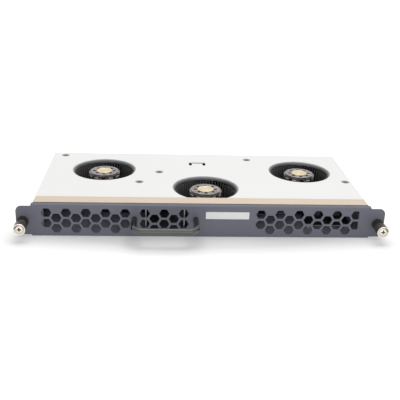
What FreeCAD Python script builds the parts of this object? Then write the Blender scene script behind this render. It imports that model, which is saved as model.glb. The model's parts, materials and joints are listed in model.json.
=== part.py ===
"""One-unit rack fan tray: a sheet-steel shell with three radial blowers behind a vented face plate.

Frame: +X to the right, +Y to the rear, +Z up.  The origin is on the underside of the bottom cover, at the
middle of the tray's width and depth.  All lengths are in millimetres and all angles in degrees.
"""
import FreeCAD, Part
import math
import os
import re

import Sketcher

# ----------------------------------------------------------------------------------------------------
# Driving dimensions: name, value, meaning
# ----------------------------------------------------------------------------------------------------
SIZES = [
    ("rack_width", 482.6, "over the ears"),
    ("ear_width", 19.3, "of one ear beyond the shell"),
    ("fastener_inset", 8.75, "from an ear's outer edge to its captive screw"),
    ("fastener_height", 20.0, "of the captive screws above the underside"),
    ("unit_height", 43.7, "of the face plate"),
    ("tray_depth", 216.8, "from the face to the back of the shell"),
    ("roof_drop", 1.0, "from the top of the face plate to the roof"),
    ("shell_gauge", 1.2, "sheet of the shell"),
    ("shell_bend", 1.8, "outside bend radius of the shell"),
    ("flange_width", 10.0, "of the shell's bottom flanges"),
    ("lip_width", 15.4, "of the shell's front lips"),
    ("cover_gap", 0.4, "round the bottom cover"),
    ("seam_gap", 0.2, "between the face plate's flange and the roof"),
    ("floor_gauge", 1.0, "sheet of the bottom cover"),
    ("panel_gauge", 2.0, "sheet of the face plate"),
    ("panel_bend", 1.6, "outside bend radius of the face plate's top edge"),
    ("panel_flange", 7.0, "depth of the face plate's top flange"),
    ("ear_bottom", 1.8, "height of the ears' lower edge"),
    ("ear_drop", 2.3, "from the top of the face plate to the ears' upper edge"),
    ("ear_corner", 7.0, "corner radius of the ears"),
    ("vent_flats", 11.8, "across the flats of one vent"),
    ("vent_pitch", 12.64, "between vent columns"),
    ("vent_margin", 19.5, "from the shell's side to the outermost vent column"),
    ("vent_middle", 21.4, "height of the vent field's centre line"),
    ("vents_left", 8, "full columns of vents left of the middle"),
    ("vents_right", 6, "full columns of vents right of the middle"),
    ("vent_missing", 4, "half-pitched column left out behind the handle"),
    ("label_width", 57.0, "of the blank label"),
    ("label_height", 9.9, "of the blank label"),
    ("label_thick", 0.3, "of the blank label"),
    ("label_gap", 12.8, "from the handle's right leg to the label"),
    ("label_z", 30.5, "height of the label's middle"),
    ("handle_rod", 4.0, "radius of the handle's rod"),
    ("handle_span", 80.0, "between the handle's legs"),
    ("handle_inset", 172.5, "from the shell's left side to the handle's middle"),
    ("handle_z", 24.4, "height of the handle"),
    ("handle_reach", 38.0, "from the face to the middle of the bar"),
    ("handle_bend", 12.0, "bend radius on the rod's centre line"),
    ("handle_screw", 2.0, "radius of the handle screws' shank"),
    ("handle_screw_head", 3.8, "radius of the handle screws' head"),
    ("handle_screw_rise", 2.6, "height of the handle screws' head"),
    ("handle_thread", 9.0, "depth of the thread in the handle's legs"),
    ("gasket_gap", 0.5, "between the face plate's flange and the gasket"),
    ("gasket_depth", 20.0, "front to back"),
    ("gasket_thick", 2.0, "of the gasket"),
    ("gasket_round", 0.8, "of the gasket's long upper edges"),
    ("gasket_inset", 2.5, "from the shell's side to the gasket's end"),
    ("outlet_gap", 6.0, "from the face to the middle blower's outlet"),
    ("blower_gap", 2.3, "between neighbouring blowers, side to side"),
    ("side_gap", 0.3, "between the left blower and the shell's side"),
    ("side_room", 8.0, "between the right blower and the shell's side"),
    ("rear_room", 4.2, "between the outer blowers and the rear wall"),
    ("right_turn", 9.0, "turn of the right-hand blower"),
    ("roof_lap", 0.5, "of the roof over the bell mouths"),
    ("slot_inset", 48.3, "from the rear wall to the middle of the lanced tongue"),
    ("slot_width", 25.0, "of the tongue's cut-out"),
    ("slot_length", 13.0, "of the tongue's cut-out"),
    ("blower_lift", 3.6, "underside of the blowers above the underside"),
    ("blower_gauge", 1.2, "sheet of the blower housings"),
    ("inlet_gauge", 1.0, "sheet of the inlet plates"),
    ("throat_lap", 1.5, "of the blades inside the bell mouth's throat"),
    ("bell_flare", 4.4, "of the bell mouth beyond its throat"),
    ("bell_depth", 3.0, "from the inlet plate's top to the throat's edge"),
    ("bell_knee", 2.2, "from the inlet plate's top to the end of the bell mouth's flare"),
    ("scroll_gap", 5.0, "between the impeller and the scroll at the front"),
    ("rise_rear", 16.2, "of the scroll's radius at the rear over that at the front"),
    ("rise_right", 5.5, "of the scroll's radius at the right over that at the front"),
    ("outlet_neck", 9.0, "from the scroll's front to the outlet's edge"),
    ("outlet_width", 49.0, "of the outlet, inside"),
    ("tab_side", 16.475, "from the scroll's left side to the rear screw"),
    ("tab_back", 7.889, "from the scroll's rear to the rear screw"),
    ("tab_front", 13.4, "of the front screw beyond the scroll's radius at the right"),
    ("ear_front_angle", -43.8, "bearing of the front screw"),
    ("ear_tab", 8.0, "radius of the inlet plate's screw tabs"),
    ("blower_screw", 2.0, "radius of the blower screws' shank"),
    ("blower_screw_head", 4.2, "radius of the blower screws' head"),
    ("screw_play", 0.2, "between a screw's shank and its hole"),
    ("dimple", 5.8, "radius of the screws' dimples in the roof"),
    ("dimple_depth", 0.7, "of the screws' dimples"),
    ("blade_chord", 7.9, "from the blades' inner edges to their outer edges"),
    ("blade_outer", 48.4, "radius of the blades' outer edges"),
    ("blade_thick", 0.8, "of one blade"),
    ("knee_inset", 3.6, "from the blades' outer edges to where they bend forward"),
    ("blade_knee_lean", 0.9, "forward lean of the blades at that bend"),
    ("blade_tip_lean", 4.2, "forward lean of the blades' outer edges"),
    ("blade_count", 40, "blades of one impeller"),
    ("blade_plate", 1.5, "thickness of the impeller's back plate"),
    ("blade_root", 0.2, "of the blades into the back plate"),
    ("blade_rim", 0.6, "of the back plate and top ring beyond the blades' tips"),
    ("blade_ring", 2.0, "height of the impeller's top ring"),
    ("blade_ring_width", 1.8, "of the impeller's top ring"),
    ("inlet_gap", 0.8, "between the bell mouth and the impeller"),
    ("base_gap", 1.2, "between the housing's floor and the impeller"),
    ("cup_wall", 3.1, "of the rotor cup with its ring magnet"),
    ("cup_shoulder", 1.5, "width of the rotor cup's upper step"),
    ("air_gap", 0.7, "between the stator and the rotor cup"),
    ("cup_drop", 2.4, "from the roof to the rotor cup's top"),
    ("cup_step", 2.0, "height of the rotor cup's upper step"),
    ("cup_lid", 1.4, "thickness of the rotor cup's lid"),
    ("cup_windows", 8, "windows round the rotor cup"),
    ("window_width", 7.0, "of one window"),
    ("window_height", 3.6, "of one window"),
    ("window_drop", 1.0, "from the cup's step to the windows"),
    ("lid_slot_start", 12.0, "radius where the lid's air slots start"),
    ("lid_slot_end", 16.2, "radius where the lid's air slots end"),
    ("lid_slot_width", 4.0, "of the lid's air slots"),
    ("boss_radius", 9.6, "of the brass boss"),
    ("boss_height", 1.0, "of the brass boss"),
    ("shaft_radius", 2.0, "of the motor shaft"),
    ("shaft_foot", 0.4, "between the housing's floor and the shaft"),
    ("shaft_sink", 0.2, "of the shaft's end below the boss's face"),
    ("bearing_outer", 4.0, "radius of the bearings"),
    ("bearing_length", 18.0, "of the sleeve bearing"),
    ("running_gap", 0.03, "radial clearance of the shaft in its bearings"),
    ("seat_gap", 0.05, "radial clearance of pieces that are slid together"),
    ("tube_outer", 6.4, "radius of the bearing tube"),
    ("tube_height", 28.0, "of the bearing tube"),
    ("core_tip", 18.5, "radius of the stator's tooth tips"),
    ("core_height", 12.0, "of the stator core"),
    ("core_lift", 9.0, "of the stator core above the housing's floor"),
    ("core_teeth", 6, "teeth of the stator"),
    ("tooth_width", 2.6, "of one tooth's arm"),
    ("tip_width", 12.0, "of one tooth's tip"),
    ("tip_depth", 1.2, "of one tooth's tip"),
    ("tip_inset", 0.8, "of the tips' flat faces inside the core's radius"),
    ("hub_wall", 2.0, "of the core's hub ring"),
    ("coil_width", 7.4, "of one coil"),
    ("coil_length", 5.6, "of one coil along its tooth"),
    ("coil_start", 10.4, "radius where the coils start"),
    ("coil_over", 3.0, "of a coil above and below its tooth"),
    ("motor_board_margin", 0.5, "of the motor boards inside the stator's radius"),
    ("board_thick", 1.6, "of the circuit boards"),
    ("board_width", 62.0, "of the control board"),
    ("board_depth", 44.0, "of the control board"),
    ("board_inset", 16.5, "from the shell's right side to the control board"),
    ("board_gap", 7.0, "between the control board and the line of the outer blowers' outlets"),
    ("board_lift", 3.8, "of the control board above the bottom cover"),
    ("leg_radius", 2.9, "over the corners of the board's supports"),
    ("leg_inset", 4.0, "from the board's edges to its supports"),
    ("chip_x", 18.0, "from the board's left edge to the driver"),
    ("chip_y", 10.0, "from the board's front edge to the driver and the regulator"),
    ("chip_side", 12.0, "of the driver"),
    ("chip_height", 1.6, "of the driver"),
    ("regulator_x", 38.0, "from the board's left edge to the regulator"),
    ("regulator_side", 9.0, "of the regulator"),
    ("regulator_height", 4.0, "of the regulator"),
    ("header_width", 9.8, "of one lead header"),
    ("header_depth", 5.8, "of one lead header"),
    ("header_height", 6.5, "of one lead header"),
    ("header_inset", 6.0, "from the board's rear edge to the headers"),
    ("header_gap", 4.0, "between neighbouring headers"),
    ("header_start", 3.0, "from the board's side to the first header"),
    ("lead_width", 4.8, "of the flat leads"),
    ("lead_thick", 1.2, "of the flat leads"),
    ("lead_pitch", 5.4, "between neighbouring leads on the cover"),
    ("lead_lane", 30.6, "first lead's run in front of the tray's middle"),
    ("lead_rise", 14.2, "from a blower's axis to the middle of its lead's rise"),
    ("lead_lift", 0.1, "of the leads above the bottom cover"),
    ("lead_board_gap", 0.3, "between a lead and the edge of the board"),
    ("plug_width", 30.0, "of the rear connector"),
    ("plug_height", 9.0, "of the rear connector"),
    ("plug_reach", 5.0, "of the rear connector behind the shell"),
    ("plug_inside", 9.0, "of the rear connector inside the shell"),
    ("plug_flange", 2.0, "overlap of the rear connector's flange"),
    ("plug_z", 20.0, "height of the rear connector's middle"),
    ("plug_wall", 1.5, "of the rear connector's well"),
    ("plug_pins", 6, "blades of the rear connector"),
    ("pin_thick", 0.8, "of one blade"),
    ("pin_height", 4.0, "of one blade"),
    ("pin_sink", 0.5, "of the blades into the well's floor and below its mouth"),
    ("harness_back", 16.0, "from the rear wall to the harness's run"),
    ("motor_board_lift", 3.0, "of the motor boards above the housings' floor"),
    ("skirt_gap", 0.9, "between the knobs' skirt and the ferrules"),
    ("knob_front", 27.0, "from the face to the knobs' front"),
    ("knob_length", 13.0, "of the knobs"),
    ("knob_wall", 1.4, "of the knobs' skirt"),
    ("knob_sides", 24, "flats round the knobs"),
    ("cup_rim", 1.3, "width of the rim round the screw head"),
    ("cup_recess", 2.4, "depth of the knobs' front recess"),
    ("knob_shoulder", 7.0, "from the knobs' front to the shoulder over the spring"),
    ("head_radius", 5.8, "of the captive screws' domed heads"),
    ("head_rise", 1.9, "of the captive screws' domed heads"),
    ("cross_span", 6.4, "of the cross recess"),
    ("cross_width", 1.1, "of the cross recess's arms"),
    ("cross_depth", 0.9, "of the cross recess"),
    ("thread_radius", 2.5, "of the captive screws' thread"),
    ("neck_radius", 1.9, "of the captive screws' neck"),
    ("thread_out", 6.0, "of the thread behind the ears at rest"),
    ("fastener_travel", 9.0, "of the captive screws"),
    ("ferrule_wall", 0.7, "of the ferrules' barrel"),
    ("ferrule_rim", 2.0, "width of the ferrules' flange"),
    ("ferrule_flange_thick", 1.6, "of the ferrules' flange"),
    ("ferrule_length", 6.5, "of the ferrules in front of the face"),
    ("ferrule_lip", 1.2, "of the lip that holds the screw captive"),
    ("spring_radius", 4.2, "mean radius of the springs"),
    ("spring_wire", 0.8, "of the springs"),
    ("spring_turns", 5, "of the springs"),
    ("spring_play", 0.1, "between a spring and its washer at rest"),
    ("washer_thick", 0.8, "of the spring washers"),
    ("spring_corners", 12, "corners of one turn of a spring"),
    ("washer_rim", 1.0, "of the spring washers beyond the springs' middle line"),
    ("slide_gap", 0.3, "between pieces that pass each other"),
    ("over", 1.0, "of a cutting piece past the face that it cuts"),
]

# Heights and places that follow from the driving dimensions
DERIVED = {
    "rim_radius": "blade_outer + blade_rim",
    "blade_inner": "blade_outer - blade_chord",
    "blade_knee": "blade_outer - knee_inset",
    "throat": "blade_inner + throat_lap",
    "bell_mouth": "throat + bell_flare",
    "inlet_hole": "bell_mouth - roof_lap",
    "scroll_front": "rim_radius + scroll_gap",
    "scroll_right": "scroll_front + rise_right",
    "scroll_rear": "scroll_front + rise_rear",
    "body_width": "rack_width - 2 * ear_width",
    "side_space": "2 * shell_gauge + side_gap + side_room",
    "blower_width": "(body_width - side_space - 2 * blower_gap) / 3",
    "scroll_left": "blower_width - 2 * blower_gauge - scroll_right",
    "outlet_front": "scroll_front + outlet_neck",
    "tab_x": "tab_side - scroll_left",
    "tab_y": "scroll_rear - tab_back",
    "ear_rear": "sqrt(tab_x ^ 2 + tab_y ^ 2)",
    "ear_rear_angle": "atan2(tab_y; tab_x) / 1 deg",
    "ear_front": "scroll_right + tab_front",
    "blower_pitch": "blower_width + blower_gap",
    "blower_left": "shell_gauge + side_gap + blower_gauge + scroll_left",
    "blower_x": "blower_left + blower_pitch - half_body",
    "row_front": "outlet_front + outlet_gap",
    "row_rear": "tray_depth - shell_gauge - rear_room - blower_gauge - scroll_rear",
    "slot_y": "tray_depth - slot_inset",
    "fastener_spacing": "rack_width - 2 * fastener_inset",
    "ear_top": "unit_height - ear_drop",
    "vent_edge": "half_body - vent_margin",
    "vent_land": "half_body - lip_width",
    "handle_x": "handle_inset - half_body",
    "label_x": "handle_x + handle_span / 2 + label_gap + label_width / 2",
    "cup_inner": "core_tip + air_gap",
    "cup_radius": "cup_inner + cup_wall",
    "cup_top_radius": "cup_radius - cup_shoulder",
    "motor_board_radius": "core_tip - motor_board_margin",
    "ferrule_bore": "spring_radius + spring_wire / 2 + slide_gap",
    "ferrule_radius": "ferrule_bore + ferrule_wall",
    "ferrule_flange": "ferrule_radius + ferrule_rim",
    "knob_radius": "ferrule_radius + skirt_gap + knob_wall",
    "front": "-tray_depth / 2",
    "panel_back": "front + panel_gauge",
    "rear": "tray_depth / 2",
    "half_body": "body_width / 2",
    "roof_top": "unit_height - roof_drop",
    "roof_under": "roof_top - shell_gauge",
    "housing_floor": "blower_lift + blower_gauge",
    "plate_under": "roof_under - inlet_gauge",
    "bell_edge": "roof_under - bell_depth",
    "impeller_top": "bell_edge - inlet_gap",
    "impeller_base": "housing_floor + base_gap",
    "cup_top": "roof_top - cup_drop",
    "cup_base": "impeller_base + blade_plate",
    "core_base": "housing_floor + core_lift",
    "tube_top": "blower_lift + tube_height",
    "board_z": "floor_gauge + board_lift",
    "lead_low": "floor_gauge + lead_lift",
    "board_left": "half_body - board_inset - board_width",
    "board_rear": "front + row_rear - outlet_front - board_gap",
    "board_front": "board_rear - board_depth",
    "header_rear": "board_rear - header_inset",
    "header_pitch": "header_width + header_gap",
    "gasket_front": "front + panel_flange + gasket_gap",
    "plug_left": "blower_x - plug_width / 2",
    "plug_low": "plug_z - plug_height / 2",
    "first_head": "board_left + header_start + header_width / 2",
    "lead_turn": "board_rear + lead_board_gap + lead_width / 2",
}

NAMES = {name for name, value, note in SIZES}

TOUCH = 1e-6  # lengths below this count as nothing

doc = FreeCAD.newDocument("fan_tray")
sheet = doc.addObject("Spreadsheet::Sheet", "Sizes")
for row, (alias, value, note) in enumerate(SIZES, start=1):
    sheet.set("A%d" % row, alias)
    sheet.set("B%d" % row, str(value))
    sheet.set("C%d" % row, note)
    sheet.setAlias("B%d" % row, alias)
doc.recompute()


def ex(text):
    """A formula in the names above, as an expression on the sheet's cells alone."""
    def swap(match):
        word = match.group()
        if word in DERIVED:
            return "(" + ex(DERIVED[word]) + ")"
        return "Sizes." + word if word in NAMES else word
    return re.sub(r"[A-Za-z_][A-Za-z0-9_]*", swap, str(text))


def num(text):
    """The present value of a formula."""
    value = sheet.evalExpression(ex(text))
    return float(getattr(value, "Value", value))


# ----------------------------------------------------------------------------------------------------
# Building blocks
# ----------------------------------------------------------------------------------------------------
def bind(obj, sizes):
    """Ties properties to formulas on the sheet."""
    for prop, formula in sizes.items():
        obj.setExpression(prop, ex(formula))


def place(obj, x="0", y="0", z="0"):
    """Ties an object's position to formulas on the sheet."""
    bind(obj, {"Placement.Base.x": x, "Placement.Base.y": y, "Placement.Base.z": z})
    return obj


def box(name, x, y, z, long, deep, high):
    """A block from its lower front left corner."""
    obj = doc.addObject("Part::Box", name)
    bind(obj, {"Length": long, "Width": deep, "Height": high})
    return place(obj, x, y, z)


TURN_TO = {
    "Z": (FreeCAD.Vector(0, 0, 1), 0),
    "Y": (FreeCAD.Vector(1, 0, 0), -90),
}


def rod(name, x, y, z, radius, length, along="Z"):
    """A cylinder that runs from its base point towards +Y or +Z."""
    obj = doc.addObject("Part::Cylinder", name)
    axis, angle = TURN_TO[along]
    obj.Placement.Rotation = FreeCAD.Rotation(axis, angle)
    bind(obj, {"Radius": radius, "Height": length})
    return place(obj, x, y, z)


def prism(name, x, y, z, radius, length, along="Z", sides="6"):
    """A regular prism, its radius taken over the corners."""
    obj = doc.addObject("Part::Prism", name)
    axis, angle = TURN_TO[along]
    obj.Placement.Rotation = FreeCAD.Rotation(axis, angle)
    bind(obj, {"Polygon": sides, "Circumradius": radius, "Height": length})
    return place(obj, x, y, z)


def fuse(name, *parts):
    obj = doc.addObject("Part::MultiFuse", name)
    obj.Shapes = list(parts)
    obj.Refine = True
    return obj


def cut(name, base, *tools):
    obj = doc.addObject("Part::Cut", name)
    obj.Base = base
    obj.Tool = tools[0] if len(tools) == 1 else fuse(name + "_tools", *tools)
    obj.Refine = True
    return obj


def group(name, *solids):
    """Separate solids that share one node."""
    obj = doc.addObject("Part::Compound", name)
    obj.Links = list(solids)
    return obj


NODES = []


def node(obj, label):
    obj.Label = label
    NODES.append(obj)
    return obj


def new_body(name):
    return doc.addObject("PartDesign::Body", name)


def new_sketch(body, name, plane, offset="0"):
    """A sketch on one of the body's own origin planes, lifted along the plane's normal."""
    sketch = body.newObject("Sketcher::SketchObject", name)
    origin_plane = [item for item in body.Origin.OriginFeatures if item.Role == plane + "_Plane"][0]
    sketch.AttachmentSupport = [(origin_plane, "")]
    sketch.MapMode = "FlatFace"
    sketch.setExpression("AttachmentOffset.Base.z", ex(offset))
    return sketch


def pin_point(sketch, index, end, spot, x, y):
    """Ties one end of a sketch element to two formulas."""
    for kind, formula, value in (("DistanceX", x, spot.x), ("DistanceY", y, spot.y)):
        row = sketch.addConstraint(Sketcher.Constraint(kind, -1, 1, index, end, value))
        sketch.setExpression("Constraints[%d]" % row, ex(formula))


def outline(sketch, corners):
    """A closed outline.  A corner is (x, y) or (x, y, radius, side): an arc leads on from that corner to the
    next, its centre to the left (side 1) or to the right (side -1) of the way there."""
    spots = [FreeCAD.Vector(num(c[0]), num(c[1]), 0) for c in corners]
    ends = []
    for i, corner in enumerate(corners):
        here = spots[i]
        there = spots[(i + 1) % len(spots)]
        if len(corner) == 2:
            index = sketch.addGeometry(Part.LineSegment(here, there), False)
            ends.append((index, 1, 2))
            continue
        radius, side = num(corner[2]), corner[3]
        chord = there - here
        middle = (here + there) * 0.5
        height = math.sqrt(max(radius ** 2 - (chord.Length / 2) ** 2, 0))
        normal = FreeCAD.Vector(-chord.y, chord.x, 0).normalize() * side
        centre = middle + normal * height
        crest = centre - normal * radius
        arc = Part.Arc(here, crest, there)
        index = sketch.addGeometry(arc, False)
        # Part.Arc is stored counter-clockwise, so its ends may be swapped
        forward = sketch.getPoint(index, 1).distanceToPoint(here) < TOUCH
        ends.append((index, 1, 2) if forward else (index, 2, 1))
        row = sketch.addConstraint(Sketcher.Constraint("Radius", index, radius))
        sketch.setExpression("Constraints[%d]" % row, ex(corner[2]))
    for i, (index, start, end) in enumerate(ends):
        after = ends[(i + 1) % len(ends)]
        sketch.addConstraint(Sketcher.Constraint("Coincident", index, end, after[0], after[1]))
        pin_point(sketch, index, start, spots[i], corners[i][0], corners[i][1])


def rectangle(sketch, left, low, right, high):
    outline(sketch, [(left, low), (right, low), (right, high), (left, high)])


def circle(sketch, radius, x="0", y="0"):
    spot = FreeCAD.Vector(num(x), num(y), 0)
    index = sketch.addGeometry(Part.Circle(spot, FreeCAD.Vector(0, 0, 1), num(radius)), False)
    row = sketch.addConstraint(Sketcher.Constraint("Radius", index, num(radius)))
    sketch.setExpression("Constraints[%d]" % row, ex(radius))
    pin_point(sketch, index, 3, spot, x, y)


def pad(body, sketch, length, name, reverse=False):
    feature = body.newObject("PartDesign::Pad", name)
    feature.Profile = sketch
    feature.Reversed = reverse
    feature.setExpression("Length", ex(length))
    return feature


def pocket(body, sketch, length, name, reverse=False):
    feature = body.newObject("PartDesign::Pocket", name)
    feature.Profile = sketch
    feature.Reversed = reverse
    feature.setExpression("Length", ex(length))
    return feature


def revolve(body, sketch, name, groove=False):
    """Turns a profile round the sketch's vertical axis."""
    feature = body.newObject("PartDesign::Groove" if groove else "PartDesign::Revolution", name)
    feature.Profile = sketch
    feature.ReferenceAxis = (sketch, ["V_Axis"])
    feature.Angle = 360
    return feature


def polar(body, feature, sketch, count, name):
    """Repeats a feature round the sketch's normal."""
    pattern = body.newObject("PartDesign::PolarPattern", name)
    pattern.Originals = [feature]
    pattern.Axis = (sketch, ["N_Axis"])
    pattern.Angle = 360
    pattern.setExpression("Occurrences", ex(count))
    body.Tip = pattern
    return pattern


# ----------------------------------------------------------------------------------------------------
# Shell, bottom cover and face plate
# ----------------------------------------------------------------------------------------------------
BLOWERS = [
    ("left", "blower_x - blower_pitch", "front + row_rear", "0"),
    ("middle", "blower_x", "front + row_front", "0"),
    ("right", "blower_x + blower_pitch", "front + row_rear", "right_turn"),
]


def bearing_point(x, y, turn, radius, angle):
    """A point at a bearing from a blower's axis."""
    along = "(%s) + (%s)" % (angle, turn)
    return (
        "(%s) + %s * cos(%s)" % (x, radius, along),
        "(%s) + %s * sin(%s)" % (y, radius, along),
    )


def blower_screw_points():
    """The two screws of each blower: name, x, y."""
    points = []
    for side, x, y, turn in BLOWERS:
        turn = "%s * 1 deg" % turn
        points.append((side + "_rear",) + bearing_point(x, y, turn, "ear_rear", "ear_rear_angle * 1 deg"))
        points.append((side + "_front",) + bearing_point(x, y, turn, "ear_front", "ear_front_angle * 1 deg"))
    return points


def shell_hull():
    """The closed block that the shell is hollowed from, its upper edges bent round."""
    body = new_body("shell_hull")
    bind(body, {"Placement.Base.y": "panel_back"})
    sketch = new_sketch(body, "hull_plan", "XY", "floor_gauge")
    rectangle(sketch, "-half_body", "0", "half_body", "tray_depth - panel_gauge")
    block = pad(body, sketch, "roof_top - floor_gauge", "hull_block")
    doc.recompute()
    upper = []
    for n, edge in enumerate(block.Shape.Edges, start=1):
        middle = edge.CenterOfMass
        if middle.z > num("roof_top") - TOUCH and middle.y > TOUCH:
            upper.append("Edge%d" % n)
    bends = body.newObject("PartDesign::Fillet", "hull_bends")
    bends.Base = (block, upper)
    bends.setExpression("Radius", ex("shell_bend"))
    return body


def shell():
    """Roof, sides and rear wall of one bent sheet, with front lips and bottom flanges."""
    hollow = box("shell_hollow", "-half_body + shell_gauge", "panel_back - over", "floor_gauge - over",
                 "body_width - 2 * shell_gauge", "tray_depth - panel_gauge - shell_gauge + over",
                 "roof_under - floor_gauge + over")
    notch = box("roof_notch", "-half_body - over", "panel_back - over", "unit_height - panel_gauge",
                "body_width + 2 * over", "panel_flange - panel_gauge + over + seam_gap", "panel_gauge")
    tools = [hollow, notch]
    for side, x, y, turn in BLOWERS:
        tools.append(rod("inlet_" + side, x, y, "roof_under - over", "inlet_hole", "shell_gauge + 2 * over"))
    for spot, x, y in blower_screw_points():
        tools.append(rod("dimple_" + spot, x, y, "roof_top - dimple_depth", "dimple", "dimple_depth + over"))
        tools.append(prism("screw_way_" + spot, x, y, "roof_under - over",
                           "(blower_screw + screw_play) * 2 / sqrt(3)", "shell_gauge + 2 * over"))
    tools.append(tongue_slot())
    tools.append(plug_cutout())
    open_shell = cut("open_shell", shell_hull(), *tools)
    inset = "shell_gauge / 2"
    flanges = []
    for name, x in (("left", "-half_body + " + inset), ("right", "half_body - flange_width - " + inset)):
        flanges.append(box("flange_" + name, x, "panel_back + shell_gauge", "floor_gauge",
                           "flange_width", "tray_depth - panel_gauge - 2 * shell_gauge", "shell_gauge"))
    flanges.append(box("flange_rear", "-half_body + " + inset, "rear - flange_width - " + inset,
                       "floor_gauge", "body_width - shell_gauge", "flange_width", "shell_gauge"))
    for name, x in (("left", "-half_body + " + inset), ("right", "half_body - lip_width - " + inset)):
        flanges.append(box("lip_" + name, x, "panel_back", "floor_gauge",
                           "lip_width", "shell_gauge", "unit_height - panel_gauge - floor_gauge"))
    return node(fuse("shell", open_shell, *flanges), "sheet_shell")


def tongue_slot():
    """A U-shaped cut that frees a small tongue in the roof."""
    near = "front + slot_y - slot_length / 2"
    outer = box("slot_outer", "-slot_width / 2", near, "roof_under - over", "slot_width", "slot_length",
                "shell_gauge + 2 * over")
    tongue = box("slot_tongue", "-slot_width / 2 + slot_length / 3", near + " - over",
                 "roof_under - 2 * over", "slot_width - slot_length * 2 / 3", "slot_length * 2 / 3 + over",
                 "shell_gauge + 4 * over")
    return cut("slot", outer, tongue)


def plug_cutout():
    """Opening for the connector in the rear wall."""
    return box("plug_cutout", "plug_left - seat_gap", "rear - shell_gauge - over", "plug_low - seat_gap",
               "plug_width + 2 * seat_gap", "shell_gauge + 2 * over", "plug_height + 2 * seat_gap")


def bottom_cover():
    """Flat sheet that closes the shell from below."""
    node(box("cover", "-half_body + cover_gap", "panel_back + cover_gap", "0", "body_width - 2 * cover_gap",
             "tray_depth - panel_gauge - 2 * cover_gap", "floor_gauge"), "bottom_cover")


def vent_points():
    """Centres of the hexagonal vents: two fields of four half-pitched rows each."""
    points = []
    fields = (("-vent_edge", "vent_pitch", "vents_left"), ("vent_edge", "-vent_pitch", "vents_right"))
    for edge, step, count in fields:
        columns = int(num(count))
        for k in range(columns):
            x = "%s + %d * (%s)" % (edge, 2 * k, step)
            points += [(x, 1.5), (x, -0.5)]
            skipped = edge == "-vent_edge" and k == num("vent_missing")
            if k < columns - 1 and not skipped:
                x = "%s + %d * (%s)" % (edge, 2 * k + 1, step)
                points += [(x, 0.5), (x, -1.5)]
    return [(x, "vent_middle + %s * vent_pitch / sqrt(3)" % offset) for x, offset in points]


def face_plate():
    """Folded plate: face with ears, rounded top edge with a short flange, vents and screw holes."""
    body = new_body("panel_body")
    bind(body, {"Placement.Base.y": "front"})
    half = "rack_width / 2"
    sketch = new_sketch(body, "panel_outline", "XZ", "-panel_gauge")
    corners = [
        ("half_body", "0"), ("half_body", "ear_bottom"), (half, "ear_bottom"),
        (half, "ear_top"), ("half_body", "ear_top"), ("half_body", "unit_height"),
    ]
    outline(sketch, corners + [("-(%s)" % x, z) for x, z in reversed(corners)])
    pad(body, sketch, "panel_gauge", "panel_face")
    top = new_sketch(body, "flange_outline", "XY", "unit_height - panel_gauge")
    rectangle(top, "-half_body", "0", "half_body", "panel_flange")
    pad(body, top, "panel_gauge", "panel_top")
    doc.recompute()
    face = body.Tip
    corners = []
    bend = []
    for n, edge in enumerate(face.Shape.Edges, start=1):
        middle = edge.CenterOfMass
        if abs(abs(middle.x) - num(half)) < TOUCH and abs(middle.y - num("panel_gauge / 2")) < TOUCH:
            corners.append("Edge%d" % n)
        if abs(middle.x) < TOUCH and abs(middle.y) < TOUCH and abs(middle.z - num("unit_height")) < TOUCH:
            bend.append("Edge%d" % n)
    fillet = body.newObject("PartDesign::Fillet", "ear_corners")
    fillet.Base = (face, corners)
    fillet.setExpression("Radius", ex("ear_corner"))
    fold = body.newObject("PartDesign::Fillet", "top_fold")
    fold.Base = (fillet, [matching_edge(fillet, face, name) for name in bend])
    fold.setExpression("Radius", ex("panel_bend"))
    tools = []
    for n, (x, z) in enumerate(vent_points()):
        tools.append(prism("vent_%d" % n, x, "front - over", z, "vent_flats / sqrt(3)",
                           "panel_gauge + 2 * over", "Y"))
    vents = fuse("vent_field", *tools)
    land = box("vent_trim", "vent_land", "front - 2 * over", "0", "lip_width", "panel_gauge + 4 * over",
               "unit_height")
    trimmed = cut("vent_trimmed", vents, land)
    holes = [trimmed]
    for side in (-1, 1):
        holes.append(rod("ear_hole_%d" % (side + 1), "%d * fastener_spacing / 2" % side, "front - over",
                         "fastener_height", "ferrule_radius", "panel_gauge + 2 * over", "Y"))
        holes.append(rod("leg_hole_%d" % (side + 1), "handle_x + %d * handle_span / 2" % side, "front - over",
                         "handle_z", "handle_screw + screw_play", "panel_gauge + 2 * over", "Y"))
    node(cut("panel", body, *holes), "face_plate")


def matching_edge(feature, before, name):
    """The edge of a later feature that lies where a named edge of an earlier one lay."""
    doc.recompute()
    target = before.Shape.getElement(name).CenterOfMass
    edges = feature.Shape.Edges
    nearest = min(range(len(edges)), key=lambda n: edges[n].CenterOfMass.distanceToPoint(target))
    return "Edge%d" % (nearest + 1)


def front_trim():
    """Gasket strip and blank label."""
    body = new_body("gasket_body")
    bind(body, {"Placement.Base.y": "gasket_front"})
    sketch = new_sketch(body, "gasket_section", "YZ", "-half_body + gasket_inset")
    top = "roof_top + gasket_thick"
    outline(sketch, [
        ("0", "roof_top"), ("gasket_depth", "roof_top"), ("gasket_depth", top + " - gasket_round"),
        ("gasket_depth - gasket_round", top), ("gasket_round", top), ("0", top + " - gasket_round"),
    ])
    pad(body, sketch, "body_width - 2 * gasket_inset", "gasket_strip")
    node(body, "conductive_gasket")
    node(box("label", "label_x - label_width / 2", "front - label_thick", "label_z - label_height / 2",
             "label_width", "label_thick", "label_height"), "blank_label")


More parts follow.
